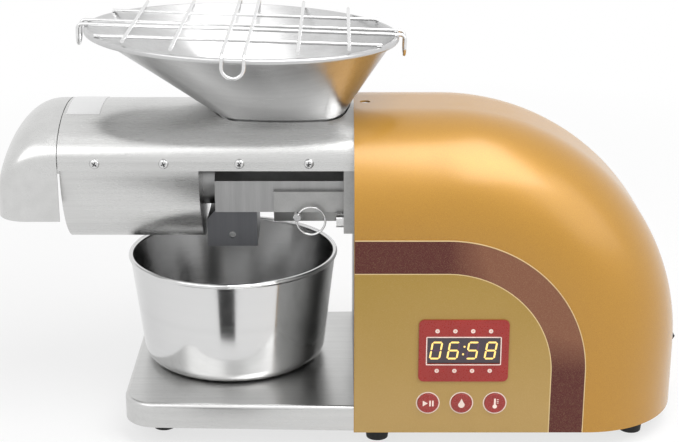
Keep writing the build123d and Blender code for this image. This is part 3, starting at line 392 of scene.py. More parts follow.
@dataclass(frozen=True)
class SatinGold(Finish):
    """Gold metallic lacquer: fine flakes under a soft clear coat, slightly uneven like orange peel."""

    flake: Colour = srgb(186, 139, 26)
    shadow: Colour = srgb(164, 110, 10)
    roughness: float = 0.4

    def make(self, name: str) -> Material:
        """Build the gold lacquer."""
        graph = Graph(name)
        flakes = graph.noise(5200.0, 1.0)
        cloud = graph.noise(38.0)
        peel = graph.noise(420.0, 2.0)
        colour = graph.blend(graph.remap(flakes, 0.32, 0.68), self.shadow, self.flake)
        rough = graph.math("ADD", self.roughness, graph.remap(cloud, 0.45, 0.7, 0.0, 0.05))
        graph.bump(peel, 0.012, 0.35)
        return graph.shade(base_color=colour, metallic=0.35, roughness=rough, coat_weight=0.9,
                           coat_roughness=0.24)


@dataclass(frozen=True)
class PrintedFilm(Finish):
    """Tan film with a printed brown band that follows the housing's curve, edged with fine pale lines."""

    centre_x: float
    centre_z: float
    outer_radius: float
    band_width: float = 20.5 * MM
    line_width: float = 0.55 * MM
    tan_top: Colour = srgb(160, 129, 56)
    tan_foot: Colour = srgb(174, 143, 85)
    brown_top: Colour = srgb(80, 25, 21)
    brown_middle: Colour = srgb(124, 78, 56)
    pale: Colour = srgb(212, 188, 140)
    foot_height: float = 30 * MM
    top_height: float = 112 * MM
    unevenness: float = 8 * MM

    def make(self, name: str) -> Material:
        """Build the printed film."""
        graph = Graph(name)
        x, _, z = graph.axes()
        across = graph.math("MAXIMUM", graph.math("SUBTRACT", x, self.centre_x), 0.0)
        rise = graph.math("MAXIMUM", graph.math("SUBTRACT", z, self.centre_z), 0.0)
        reach = graph.length(across, rise)
        inner = self.outer_radius - self.band_width
        band = graph.math("GREATER_THAN", reach, inner)
        edge = graph.math("LESS_THAN", graph.math("ABSOLUTE", graph.math("SUBTRACT", reach, inner)),
                          self.line_width / 2)
        border = graph.math("GREATER_THAN", reach, self.outer_radius - self.line_width)
        speckle = graph.noise(3800.0, 1.0)
        soft = graph.noise(16.0, 2.0)
        height = graph.math("ADD", z, graph.remap(soft, 0.3, 0.7, -self.unevenness, self.unevenness))
        tan = graph.blend(graph.remap(height, self.foot_height, self.top_height), self.tan_foot, self.tan_top)
        turn = graph.remap(graph.math("MULTIPLY", across, rise), 0.0, 0.0016)
        brown = graph.blend(turn, self.brown_top, self.brown_middle)
        colour = graph.blend(band, tan, brown)
        colour = graph.blend(graph.math("MAXIMUM", edge, border), colour, self.pale)
        colour = graph.blend(graph.remap(speckle, 0.5, 0.75, 0.0, 0.16), colour, self.pale)
        graph.bump(speckle, 0.006, 0.4)
        rough = graph.remap(speckle, 0.3, 0.7, 0.36, 0.44)
        return graph.shade(base_color=colour, roughness=rough, specular_ior_level=0.3, coat_weight=0.1,
                           coat_roughness=0.18)


@dataclass(frozen=True)
class Moulding(Finish):
    """Moulded plastic with a faint texture and slight colour change."""

    colour: Colour
    roughness: float = 0.35
    texture: float = 1400.0
    texture_depth: float = 0.01
    coat: float = 0.0

    def make(self, name: str) -> Material:
        """Build the plastic."""
        graph = Graph(name)
        fine = graph.noise(self.texture, 2.0, 0.6)
        broad = graph.noise(60.0)
        colour = graph.mottle(broad, self.colour, 0.92, 1.06)
        rough = graph.remap(fine, 0.3, 0.7, self.roughness - 0.05, self.roughness + 0.05)
        graph.bump(fine, self.texture_depth, 0.5)
        return graph.shade(base_color=colour, roughness=rough, coat_weight=self.coat, coat_roughness=0.06)


@dataclass(frozen=True)
class Rubber(Finish):
    """Matt black rubber, dusty where it is rubbed."""

    colour: Colour = srgb(26, 26, 27)

    def make(self, name: str) -> Material:
        """Build the rubber."""
        graph = Graph(name)
        dust = graph.noise(180.0, 4.0, 0.65)
        skin = graph.noise(1500.0, 2.0)
        colour = graph.blend(graph.remap(dust, 0.5, 0.75, 0.0, 0.25), self.colour, srgb(78, 76, 72))
        graph.bump(skin, 0.02, 0.6)
        return graph.shade(base_color=colour, roughness=graph.remap(dust, 0.3, 0.7, 0.62, 0.82))


@dataclass(frozen=True)
class CastMetal(Finish):
    """Sand-grained cast metal, rough and slightly stained."""

    colour: Colour
    roughness: float = 0.48
    metallic: float = 1.0

    def make(self, name: str) -> Material:
        """Build the cast metal."""
        graph = Graph(name)
        sand = graph.noise(900.0, 3.0, 0.6)
        stain = graph.noise(42.0, 4.0, 0.6)
        clean, stained = scaled(self.colour, 1.05), scaled(self.colour, 0.8)
        colour = graph.blend(graph.remap(stain, 0.4, 0.7), clean, stained)
        rough = graph.remap(sand, 0.3, 0.7, self.roughness - 0.06, self.roughness + 0.08)
        graph.bump(sand, 0.05, 0.5)
        return graph.shade(base_color=colour, metallic=self.metallic, roughness=rough)


@dataclass(frozen=True)
class Laminated(Finish):
    """Stack of thin iron sheets with a copper tint."""

    colour: Colour = srgb(120, 100, 84)
    copper: Colour = srgb(184, 110, 70)
    sheets_per_metre: float = 2000.0

    def make(self, name: str) -> Material:
        """Build the laminated stack."""
        graph = Graph(name)
        x, _, _ = graph.axes()
        step = graph.math("FRACT", graph.math("MULTIPLY", x, self.sheets_per_metre))
        colour = graph.blend(graph.math("GREATER_THAN", step, 0.7), self.colour, scaled(self.colour, 0.45))
        patches = graph.remap(graph.noise(90.0), 0.5, 0.7, 0.0, 0.6)
        colour = graph.blend(patches, colour, self.copper)
        graph.bump(step, 0.02, 0.5)
        return graph.shade(base_color=colour, metallic=1.0, roughness=0.45)


@dataclass(frozen=True)
class BoardLaminate(Finish):
    """Green circuit board with lighter tracks."""

    colour: Colour = srgb(28, 92, 54)
    track: Colour = srgb(60, 132, 84)

    def make(self, name: str) -> Material:
        """Build the board."""
        graph = Graph(name)
        x, y, z = graph.axes()
        weave = graph.noise(900.0, 2.0)
        first = graph.math("FRACT", graph.math("MULTIPLY", graph.math("ADD", x, y), 260.0))
        second = graph.math("FRACT", graph.math("MULTIPLY", graph.math("SUBTRACT", x, z), 210.0))
        tracks = graph.math("MAXIMUM", graph.math("GREATER_THAN", first, 0.82),
                            graph.math("GREATER_THAN", second, 0.86))
        colour = graph.blend(tracks, self.colour, self.track)
        graph.bump(weave, 0.01, 0.4)
        return graph.shade(base_color=colour, roughness=0.42, coat_weight=0.3, coat_roughness=0.1)


@dataclass(frozen=True)
class Glow(Finish):
    """A lit display segment or lamp: bright amber, slightly uneven."""

    colour: Colour
    strength: float = 1.0

    def make(self, name: str) -> Material:
        """Build the lit surface."""
        graph = Graph(name)
        uneven = graph.noise(900.0, 1.0)
        colour = graph.mottle(uneven, self.colour, 0.86, 1.0, edge=0.3)
        return graph.shade(base_color=scaled(self.colour, 0.5), roughness=0.4,
                           emission_color=colour, emission_strength=self.strength)


class Finishes:
    """All finishes of the press, each built once and shared."""

    def __init__(self) -> None:
        """Name every finish of the press."""
        steel = srgb(208, 208, 207)
        self.kinds: dict[str, Finish] = {
            "hood_steel": WorkedMetal(steel, roughness=0.27),
            "cap_steel": WorkedMetal(
                steel, roughness=0.29, grain=Grain.NONE, fineness=1800.0, line_depth=0.003),
            "hopper_steel": WorkedMetal(srgb(200, 200, 200), roughness=0.3, fineness=4200.0),
            "stand_steel": WorkedMetal(srgb(202, 202, 201), roughness=0.3),
            "bowl_steel": WorkedMetal(
                srgb(214, 214, 214), roughness=0.13, grain=Grain.AROUND_Z, fineness=2600.0, line_depth=0.002,
                shade_change=0.02, centre=BOWL_AXIS),
            "wire_steel": WorkedMetal(
                srgb(226, 226, 226), roughness=0.18, grain=Grain.NONE, fineness=900.0, line_depth=0.01),
            "milled_steel": WorkedMetal(
                srgb(172, 172, 172), roughness=0.36, grain=Grain.ALONG_Z, fineness=3200.0, line_depth=0.012,
                shade_change=0.09),
            "block_steel": WorkedMetal(
                srgb(176, 176, 175), roughness=0.4, grain=Grain.NONE, fineness=1500.0, line_depth=0.02,
                shade_change=0.1),
            "screw_steel": WorkedMetal(srgb(208, 208, 208), roughness=0.2, grain=Grain.NONE, fineness=1400.0),
            "gear_steel": WorkedMetal(
                srgb(138, 138, 140), roughness=0.3, grain=Grain.NONE, fineness=1800.0, line_depth=0.01,
                shade_change=0.12),
            "ground_steel": WorkedMetal(
                srgb(196, 197, 200), roughness=0.16, grain=Grain.ALONG_Z, fineness=4000.0),
            "chute_steel": WorkedMetal(
                srgb(106, 107, 110), roughness=0.42, grain=Grain.ALONG_Z, fineness=2600.0, shade_change=0.07),
            "zinc_plate": WorkedMetal(
                srgb(176, 178, 178), roughness=0.4, grain=Grain.NONE, fineness=320.0, line_depth=0.01,
                shade_change=0.08),
            "heater_steel": WorkedMetal(
                srgb(168, 150, 118), roughness=0.38, grain=Grain.NONE, fineness=500.0, shade_change=0.16),
            "brass": WorkedMetal(srgb(208, 168, 92), roughness=0.25, grain=Grain.ALONG_Z, fineness=2400.0),
            "blank_plate": WorkedMetal(
                srgb(232, 232, 232), roughness=0.34, fineness=6000.0, shade_change=0.02),
            "gold": SatinGold(),
            "panel_print": PrintedFilm(centre_x=58 * MM, centre_z=51 * MM, outer_radius=82.7 * MM),
            "cast_aluminium": CastMetal(srgb(150, 151, 153)),
            "ferrite": CastMetal(srgb(62, 62, 66), roughness=0.6, metallic=0.3),
            "black_can": CastMetal(srgb(34, 34, 37), roughness=0.4, metallic=0.2),
            "rotor_iron": Laminated(),
            "board": BoardLaminate(),
            "rubber": Rubber(),
            "red_frame": Moulding(srgb(152, 32, 24), roughness=0.3, texture_depth=0.003, coat=0.15),
            "red_button": Moulding(srgb(146, 36, 30), roughness=0.26, texture_depth=0.003, coat=0.3),
            "white_print": Moulding(srgb(236, 216, 206), roughness=0.45, texture_depth=0.002),
            "window": Moulding(srgb(44, 24, 40), roughness=0.12, texture_depth=0.001, coat=0.8),
            "dark_segment": Moulding(srgb(84, 56, 84), roughness=0.3, texture_depth=0.001),
            "lens": Moulding(srgb(232, 176, 160), roughness=0.22, texture_depth=0.002, coat=0.5),
            # Worn by the real black plastic parts, and by the screw-recess crosses as painted shade.
            "black_plastic": Moulding(srgb(22, 22, 24), roughness=0.42, texture=1800.0, texture_depth=0.02),
            "white_nylon": Moulding(srgb(206, 204, 196), roughness=0.5),
            "lit_segment": Glow(srgb(255, 214, 122), strength=1.1),
        }
        self.made: dict[str, Material] = {}

    def get(self, name: str) -> Material:
        """Give the material of a finish, and build it the first time."""
        if name not in self.made:
            self.made[name] = self.kinds[name].make(name)
        return self.made[name]


def put_in_scene(name: str, data: bpy.types.ID) -> bpy.types.Object:
    """Make an object of a mesh, a lamp or a camera and link it to the scene."""
    obj = bpy.data.objects.new(name, data)
    bpy.context.scene.collection.objects.link(obj)
    return obj


def measured_box() -> Box:
    """Lowest and highest corner of all that is there now."""
    return [[float(value) for value in corner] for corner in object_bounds()]


class Press:
    """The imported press: its nodes, its bodies and the finishes they wear."""

    def __init__(self) -> None:
        """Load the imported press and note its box."""
        self.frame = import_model()
        self.loaded_box = measured_box()
        self.finishes = Finishes()

    def dress(self, node: str, finish: str) -> bpy.types.Object:
        """Give a node its finish.

        Args:
            node: The node's name.
            finish: The finish's name.

        Returns:
            The node's object.
        """
        obj = self.frame["nodes"][node]
        obj.data.materials.clear()
        obj.data.materials.append(self.finishes.get(finish))
        return obj

    def piece(self, name: str, mesh: Mesh, finish: str, slot: str,
              body: str = PRESS_BODY, smooth: bool = True, replaces: Sequence[str] = ()) -> bpy.types.Object:
        """Make an object from a mesh and let it ride on a body.

        Args:
            name: Name of the piece.
            mesh: Its mesh, in the press's frame. It is used up.
            finish: The finish's name.
            slot: The record's slot that the finish belongs to; not used.
            body: The body it rides on.
            smooth: Whether its faces are shaded smooth, with sharp edges kept.
            replaces: Nodes that it stands for.

        Returns:
            The new object.
        """
        bmesh.ops.recalc_face_normals(mesh, faces=mesh.faces)
        data = bpy.data.meshes.new(name)
        mesh.to_mesh(data)
        mesh.free()
        data.materials.append(self.finishes.get(finish))
        if smooth:
            data.shade_smooth()
            data.set_sharp_from_angle(angle=math.radians(SHARP_ANGLE))
        obj = put_in_scene(name, data)
        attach(obj, body)
        if replaces:
            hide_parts(*replaces)
        LOG.info("piece %s rides on %s", name, body)
        return obj


def bridge(mesh: Mesh, first: Sequence[Vert], second: Sequence[Vert]) -> None:
    """Join two closed loops of as many corners with a band of faces."""
    for step in range(len(first)):
        following = (step + 1) % len(first)
        mesh.faces.new((first[step], first[following], second[following], second[step]))


def add_prism(mesh: Mesh, outline: Sequence[Spot], to_point: ToPoint, low: float, high: float) -> None:
    """Add a closed prism over an outline.

    Args:
        mesh: The mesh to add to.
        outline: Corner points in order, in the sketch's own two directions.
        to_point: Turns sketch u, v and depth into a point.
        low: Depth of the back face.
        high: Depth of the front face.
    """
    back, front = ([mesh.verts.new(to_point(u, v, depth)) for u, v in outline] for depth in (low, high))
    mesh.faces.new(front)
    mesh.faces.new(back[::-1])
    bridge(mesh, back, front)


def add_frame(mesh: Mesh, inner: Sequence[Spot], outer: Sequence[Spot], to_point: ToPoint,
              low: float, high: float) -> None:
    """Add a flat closed frame between two outlines with as many corners each.

    Args:
        mesh: The mesh to add to.
        inner: Corner points of the opening.
        outer: Corner points of the outside.
        to_point: Turns sketch u, v and depth into a point.
        low: Depth of the back face.
        high: Depth of the front face.
    """
    loops = [
        [mesh.verts.new(to_point(u, v, depth)) for u, v in outline]
        for outline, depth in ((inner, low), (outer, low), (outer, high), (inner, high))
    ]
    for first, second in zip(loops, loops[1:] + loops[:1]):
        bridge(mesh, first, second)


def arc(centre: Spot, radius: float, start: float, sweep: float, steps: int) -> list[Spot]:
    """Points on an arc with both its ends. Start and sweep are in degrees."""
    turns = [math.radians(start + sweep * step / steps) for step in range(steps + 1)]
    return [(centre[0] + radius * math.cos(turn), centre[1] + radius * math.sin(turn)) for turn in turns]


def circle_outline(centre: Spot, radius: float, steps: int) -> list[Spot]:
    """Corner points of a round outline."""
    return arc(centre, radius, 0, 360, steps)[:-1]


def rounded_outline(width: float, height: float, radius: float, steps: int = 6) -> list[Spot]:
    """Corner points of a rectangle with round corners, centred on zero.

    Args:
        width: Full width.
        height: Full height.
        radius: Corner radius.
        steps: Segments in each corner.

    Returns:
        The points in order.
    """
    points = []
    for quarter, (side_u, side_v) in enumerate(((1, 1), (-1, 1), (-1, -1), (1, -1))):
        middle = (side_u * (width / 2 - radius), side_v * (height / 2 - radius))
        points += arc(middle, radius, 90 * quarter, 90, steps)
    return points


def revolve(mesh: Mesh, profile: Sequence[Spot], origin: Point, axis: Point, steps: int) -> None:
    """Add a closed solid of revolution.

    Args:
        mesh: The mesh to add to.
        profile: Pairs of radius and height along the axis, starting and ending at radius zero.
        origin: Where height zero lies.
        axis: Direction of the axis.
        steps: Number of segments.
    """
    turned = Vector(axis).normalized().to_track_quat("Z", "Y").to_matrix()
    base = Vector(origin)
    rings: list[list[Vert]] = []
    for radius, height in profile:
        count = 1 if radius == 0 else steps
        ring = []
        for step in range(count):
            turn = 2 * math.pi * step / steps
            local = Vector((radius * math.cos(turn), radius * math.sin(turn), height))
            ring.append(mesh.verts.new(base + turned @ local))
        rings.append(ring)
    for first, second in zip(rings, rings[1:]):
        for step in range(steps):
            following = (step + 1) % steps
            corners = [first[step % len(first)], first[following % len(first)],
                       second[following % len(second)], second[step % len(second)]]
            unique = list(dict.fromkeys(corners))
            if len(unique) > 2:
                mesh.faces.new(unique)


def worn(**finishes: str) -> dict[str, str]:
    """Default of a dataclass field: the finish that each node wears."""
    return field(default_factory=lambda: dict(finishes))


@dataclass
class SubAssembly:
    """A group of the press's nodes, with the finish that each one wears."""

    press: Press
    finishes: dict[str, str] = field(default_factory=dict)

    def dress(self) -> None:
        """Give each node of the group its finish."""
        for node, finish in self.finishes.items():
            self.press.dress(node, finish)

    def build(self) -> None:
        """Dress the group. A group with details of its own adds them here."""
        self.dress()


@dataclass
class MotorHousing(SubAssembly):
    """Gold housing with its steel bulkhead, base plate, screws and feet."""

    finishes: dict[str, str] = worn(
        housing_shell="gold", housing_bulkhead="block_steel", housing_base_plate="zinc_plate",
        housing_screws="screw_steel", housing_feet="rubber", foot_screws="screw_steel",
    )


@dataclass
class ControlPanel(SubAssembly):
    """Printed film, display with its digits, indicator lamps and push buttons, in millimetres."""

    finishes: dict[str, str] = worn(
        panel_film="panel_print", display_bezel="red_frame", display_module="window",
        indicator_lamps="lens", start_button="red_button", oil_button="red_button",
        temperature_button="red_button", control_board="board", board_pillars="brass",
    )
    film_face: float = -77.5
    bezel_face: float = -78.4
    print_sink: float = 0.02
    print_height: float = 0.08
    centre_x: float = 68.3
    centre_z: float = 65.5
    window_width: float = 42.7
    window_height: float = 16.6
    line_gap: float = 0.1
    line_reach: float = 0.75
    line_height: float = 0.06
    digit_width: float = 6.6
    digit_height: float = 11.3
    stroke: float = 1.05
    segment_gap: float = 0.18
    slant: float = math.tan(math.radians(9))
    digit_places: tuple[float, ...] = (-16.2, -6.0, 5.2, 15.9)
    colon_place: float = 0.1
    colon_rise: float = 2.4
    colon_radius: float = 0.62
    shown: str = "0658"
    segments: dict[str, str] = field(default_factory=lambda: {
        "0": "abcdef", "5": "acdfg", "6": "acdefg", "8": "abcdefg",
    })
    lamp_spacing: float = 10.4
    lamp_rise: float = 12.6
    lamps_in_row: int = 4
    core_radius: float = 0.6
    core_height: float = 0.06
    collar_radii: Spot = (0.62, 1.3)
    collar_height: float = 0.1
    button_places: dict[str, float] = field(default_factory=lambda: {
        "start_button": 47.9, "oil_button": 67.8, "temperature_button": 87.6,
    })
    button_z: float = 31.8
    button_radius: float = 6.2
    button_height: float = 1.0
    button_collar: Spot = (0.2, 0.85)
    symbol_scale: float = 0.92
    symbol_sink: float = 0.05
    symbol_height: float = 0.07

    def at(self, x: float, z: float, y: float) -> Point:
        """Turn panel millimetres into a point."""
        return x * MM, y * MM, z * MM

    def on_display(self, u: float, v: float, y: float) -> Point:
        """Turn millimetres from the display's middle into a point."""
        return self.at(self.centre_x + u, self.centre_z + v, y)

    def segment_outline(self, letter: str) -> list[Spot]:
        """Outline of one display segment around the digit's centre.

        Args:
            letter: The segment, from a at the top, clockwise, to g in the middle.

        Returns:
            Its corner points, before the slant.
        """
        half = self.stroke / 2
        gap = self.segment_gap
        side = self.digit_width / 2 - half
        rise = self.digit_height / 2 - half
        if letter in "agd":
            start, end = gap - side, side - gap
            middle = {"a": rise, "g": 0.0, "d": -rise}[letter]
        else:
            start, end = (gap, rise - gap) if letter in "bf" else (gap - rise, -gap)
            middle = side if letter in "bc" else -side
        bar = [(start, middle), (start + half, middle - half), (end - half, middle - half),
               (end, middle), (end - half, middle + half), (start + half, middle + half)]
        return bar if letter in "agd" else [(v, u) for u, v in bar]

    def build_digits(self) -> None:
        """Make the lit and unlit segments of the four digits and the colon."""
        lit = bmesh.new()
        unlit = bmesh.new()
        low, high = self.film_face + self.print_sink, self.film_face - self.print_height
        for place, digit in zip(self.digit_places, self.shown):
            for letter in "abcdefg":
                mesh = lit if letter in self.segments[digit] else unlit
                corners = [(place + u + v * self.slant, v) for u, v in self.segment_outline(letter)]
                add_prism(mesh, corners, self.on_display, low, high)
        for v in (self.colon_rise, -self.colon_rise):
            dot = circle_outline((self.colon_place + v * self.slant, v), self.colon_radius, 16)
            add_prism(lit, dot, self.on_display, low, high)
        self.press.piece("display_digits", lit, "lit_segment", "lamp_lens", smooth=False)
        self.press.piece("display_unlit_segments", unlit, "dark_segment", "display_window", smooth=False)

    def build_window_line(self) -> None:
        """Make the pale line printed round the display window."""
        mesh = bmesh.new()
        inner, outer = (
            rounded_outline(self.window_width + 2 * reach, self.window_height + 2 * reach, radius)
            for reach, radius in ((self.line_gap, 0.2), (self.line_reach, 0.8))
        )
        add_frame(mesh, inner, outer, self.on_display, self.bezel_face + self.print_sink,
                  self.bezel_face - self.line_height)
        self.press.piece("display_outline", mesh, "white_print", "panel_print", smooth=False)

    def build_lamps(self) -> None:
        """Make the pale collar and the small core of each indicator lamp."""
        collars = bmesh.new()
        cores = bmesh.new()
        low = self.bezel_face + self.print_sink
        for v in (self.lamp_rise, -self.lamp_rise):
            for step in range(self.lamps_in_row):
                centre = (self.lamp_spacing * (step - (self.lamps_in_row - 1) / 2), v)
                inner, outer = (circle_outline(centre, radius, 28) for radius in self.collar_radii)
                add_frame(collars, inner, outer, self.on_display, low, self.bezel_face - self.collar_height)
                core = circle_outline(centre, self.core_radius, 20)
                add_prism(cores, core, self.on_display, low, self.bezel_face - self.core_height)
        self.press.piece("lamp_collars", collars, "white_print", "lamp_lens")
        self.press.piece("lamp_cores", cores, "lens", "lamp_lens")

    def icon_strokes(self, name: str) -> list[list[Spot]]:
        """Filled outlines of the plain symbol on a button, round its centre.

        Args:
            name: The button's node.

        Returns:
            One list of corner points for each filled shape.
        """
        if name == "start_button":
            return [
                [(-3.3, -2.0), (-3.3, 2.0), (-0.1, 0.0)],
                [(0.9, -2.0), (0.9, 2.0), (1.9, 2.0), (1.9, -2.0)],
                [(2.7, -2.0), (2.7, 2.0), (3.7, 2.0), (3.7, -2.0)],
            ]
        if name == "oil_button":
            return [[(0.0, 3.4), *arc((0.0, -1.0), 2.1, 52, -284, 18)]]
        tube = [(-0.6, 3.2), (-0.6, -0.9), *arc((0.0, -2.1), 1.45, 115, 310, 14),
                (0.6, -0.9), (0.6, 3.2), (0.3, 3.5), (-0.3, 3.5)]
        marks = [[(1.2, z), (2.4, z), (2.4, z + 0.45), (1.2, z + 0.45)] for z in (0.1, 1.3, 2.5)]
        return [tube, *marks]

    def build_buttons(self) -> None:
        """Make each button's printed collar, which stays, and its symbol, which moves with it."""
        collars = bmesh.new()
        face = self.film_face - self.button_height
        for name, x in self.button_places.items():
            inner, outer = (circle_outline((x, self.button_z), self.button_radius + reach, 64)
                            for reach in self.button_collar)
            add_frame(collars, inner, outer, self.at, self.film_face + self.print_sink,
                      self.film_face - self.print_height)
            symbol = bmesh.new()
            scale = self.symbol_scale
            for outline in self.icon_strokes(name):
                corners = [(x + u * scale, self.button_z + v * scale) for u, v in outline]
                add_prism(symbol, corners, self.at, face + self.symbol_sink, face - self.symbol_height)
            self.press.piece(f"{name}_symbol", symbol, "white_print", "panel_print", body=name, smooth=False)
        self.press.piece("button_collars", collars, "white_print", "panel_print")

    def build(self) -> None:
        """Dress the panel and add its prints."""
        self.dress()
        self.build_digits()
        self.build_window_line()
        self.build_lamps()
        self.build_buttons()


@dataclass
class PowerEntry(SubAssembly):
    """Rocker switch at the rear and the inlet on the far side."""

    finishes: dict[str, str] = worn(
        power_switch_frame="black_plastic", power_rocker="black_plastic", power_inlet="black_plastic",
        inlet_blades="brass",
    )


@dataclass
class HoodGroup(SubAssembly):
    """Hood, shroud and nose cap, with the rails and screws that hold them, in millimetres."""

    finishes: dict[str, str] = worn(
        hood="hood_steel", shroud="hood_steel", nose_cap="cap_steel", hood_rails="screw_steel",
    )
    half_width: float = 48.5
    spring: float = 172.0
    top: float = 196.0
    plate_left: float = -166.9
    plate_right: float = -147.2
    plate_turn: float = 26.0
    plate_thickness: float = 0.35
    plate_sink: float = 0.05
    plate_columns: int = 24
    plate_rows: int = 40
    border_width: float = 1.1
    border_turn: float = 1.5
    groove: Spot = (0.6, 1.4)
    groove_floor: float = 0.72
    screw_places: tuple[float, ...] = (-147.3, -107.0, -62.8, -22.3)
    screw_height: float = 171.0
    screw_profile: tuple[Spot, ...] = (
        (0, 1.75), (0.9, 1.7), (1.8, 1.45), (2.5, 1.0), (2.95, 0.35), (3.0, 0.0), (1.5, 0.0), (1.5, -4.0),
        (0, -4.0),
    )
    cross_reach: float = 1.45
    cross_half_width: float = 0.3
    cross_foot: float = 0.8
    cross_top: float = 1.78
    first_cross_turn: float = 20.0
    cross_turn_per_mm: float = 37.0

    def on_hood(self, x: float, turn: float, rise: float) -> Vector:
        """A point over the hood's arch.

        Args:
            x: Place along the hood, in millimetres.
            turn: Turn from the crown towards the near side, in degrees.
            rise: Height over the sheet, in millimetres.

        Returns:
            The point, in metres.
        """
        angle = math.radians(turn)
        height = self.top - self.spring
        surface = Vector((x, -self.half_width * math.sin(angle), self.spring + height * math.cos(angle)))
        normal = Vector((0, -math.sin(angle) / self.half_width, math.cos(angle) / height)).normalized()
        return (surface + normal * rise) * MM

    def build_blank_plate(self) -> None:
        """Make the bare plate over the crown of the hood, with a raised border."""
        mesh = bmesh.new()
        columns, rows = self.plate_columns, self.plate_rows
        length = self.plate_right - self.plate_left
        xs = [self.plate_left + length * step / columns for step in range(columns + 1)]
        turns = [-self.plate_turn + 2 * self.plate_turn * step / rows for step in range(rows + 1)]

        def rise(x: float, turn: float) -> float:
            """Height of the plate: a fine groove runs round it inside its border."""
            from_end = min(x - self.plate_left, self.plate_right - x) / self.border_width
            from_side = min(turn + self.plate_turn, self.plate_turn - turn) / self.border_turn
            in_groove = self.groove[0] < min(from_end, from_side) < self.groove[1]
            return self.plate_thickness * (self.groove_floor if in_groove else 1.0)

        top = [[mesh.verts.new(self.on_hood(x, turn, rise(x, turn))) for x in xs] for turn in turns]
        foot = [[mesh.verts.new(self.on_hood(x, turn, -self.plate_sink)) for x in xs] for turn in turns]
        for row in range(rows):
            for column in range(columns):
                for sheet in (top, foot):
                    mesh.faces.new((sheet[row][column], sheet[row][column + 1],
                                    sheet[row + 1][column + 1], sheet[row + 1][column]))
        rims = ([*sheet[0][:-1], *(row[-1] for row in sheet[:-1]),
                 *sheet[-1][:0:-1], *(row[0] for row in sheet[:0:-1])] for sheet in (top, foot))
        bridge(mesh, *rims)
        self.press.piece("blank_hood_plate", mesh, "blank_plate", "stainless")

    def build_screws(self) -> None:
        """Make the eight pan-head screws, each with a black cross on its head that paints the shade in its
        cross recess.
        """
        heads = bmesh.new()
        cross_shades = bmesh.new()
        profile = [(radius * MM, height * MM) for radius, height in self.screw_profile]
        for x in self.screw_places:
            for side in (-1, 1):
                origin = (x * MM, side * self.half_width * MM, self.screw_height * MM)
                revolve(heads, profile, origin, (0, side, 0), 40)
                self.add_cross(cross_shades, x, side)
        self.press.piece("hood_screw_heads", heads, "screw_steel", "machined_steel",
                         replaces=("hood_screws",))
        # The black crosses are painted shade: they stand for the dark inside each steel screw's cross recess.
        self.press.piece("hood_screw_recess_shade", cross_shades, "black_plastic", "machined_steel", smooth=False)

    def add_cross(self, mesh: Mesh, x: float, side: int) -> None:
        """Add the dark cross that paints the shade in one screw's cross recess.

        Args:
            mesh: The mesh to add to.
            x: The screw's place along the hood, in millimetres.
            side: -1 for the near side and 1 for the far side.
        """
        long, short = self.cross_reach, self.cross_half_width
        arm = [(short, short), (short, long), (-short, long)]
        cross = []
        for _ in range(4):
            cross += arm
            arm = [(-v, u) for u, v in arm]
        turn = math.radians(self.first_cross_turn + self.cross_turn_per_mm * x)
        outline = [(u * math.cos(turn) - v * math.sin(turn), u * math.sin(turn) + v * math.cos(turn))
                   for u, v in cross]

        def to_point(u: float, v: float, depth: float) -> Point:
            """Turn the recess's own directions into a point."""
            return (x + u) * MM, side * (self.half_width + depth) * MM, (self.screw_height + v) * MM

        add_prism(mesh, outline, to_point, self.cross_foot, self.cross_top)

    def build(self) -> None:
        """Dress the hood and add its plate and screws."""
        self.dress()
        self.build_blank_plate()
        self.build_screws()


@dataclass
class PressingChamber(SubAssembly):
    """Chamber block, saddle, pin, nozzle, heater, screw and chute."""

    finishes: dict[str, str] = worn(
        front_plate="block_steel", front_plate_bolts="screw_steel", pressing_chamber="milled_steel",
        cake_nozzle="screw_steel", heater_band="heater_steel", heater_clamp_screw="screw_steel",
        temperature_probe="brass", oil_chute="chute_steel", chamber_saddle="block_steel",
        locking_pin="screw_steel", pin_ring="wire_steel", press_screw="ground_steel",
    )


@dataclass
class HopperGroup(SubAssembly):
    """Sheet-metal hopper and its wire guard."""

    finishes: dict[str, str] = worn(hopper="hopper_steel", wire_guard="wire_steel")


@dataclass
class BowlAndStand(SubAssembly):
    """Collecting bowl and the folded stand under it."""

    finishes: dict[str, str] = worn(bowl="bowl_steel", bowl_stand="stand_steel", stand_feet="rubber")


@dataclass
class Drive(SubAssembly):
    """Gearbox, motor and boards inside the housing."""

    finishes: dict[str, str] = worn(
        gear_case="cast_aluminium", gear_case_cover="cast_aluminium", shaft_bearings="ground_steel",
        thrust_bearing="ground_steel", output_shaft="gear_steel", output_gear="gear_steel",
        second_layshaft="gear_steel", second_gear="gear_steel", first_layshaft="gear_steel",
        first_gear="gear_steel", motor_pinion="gear_steel", motor_shaft="ground_steel",
        motor_can="black_can", motor_end_caps="cast_aluminium", motor_magnets="ferrite",
        motor_rotor="rotor_iron", cooling_fan="white_nylon", power_board="board",
    )


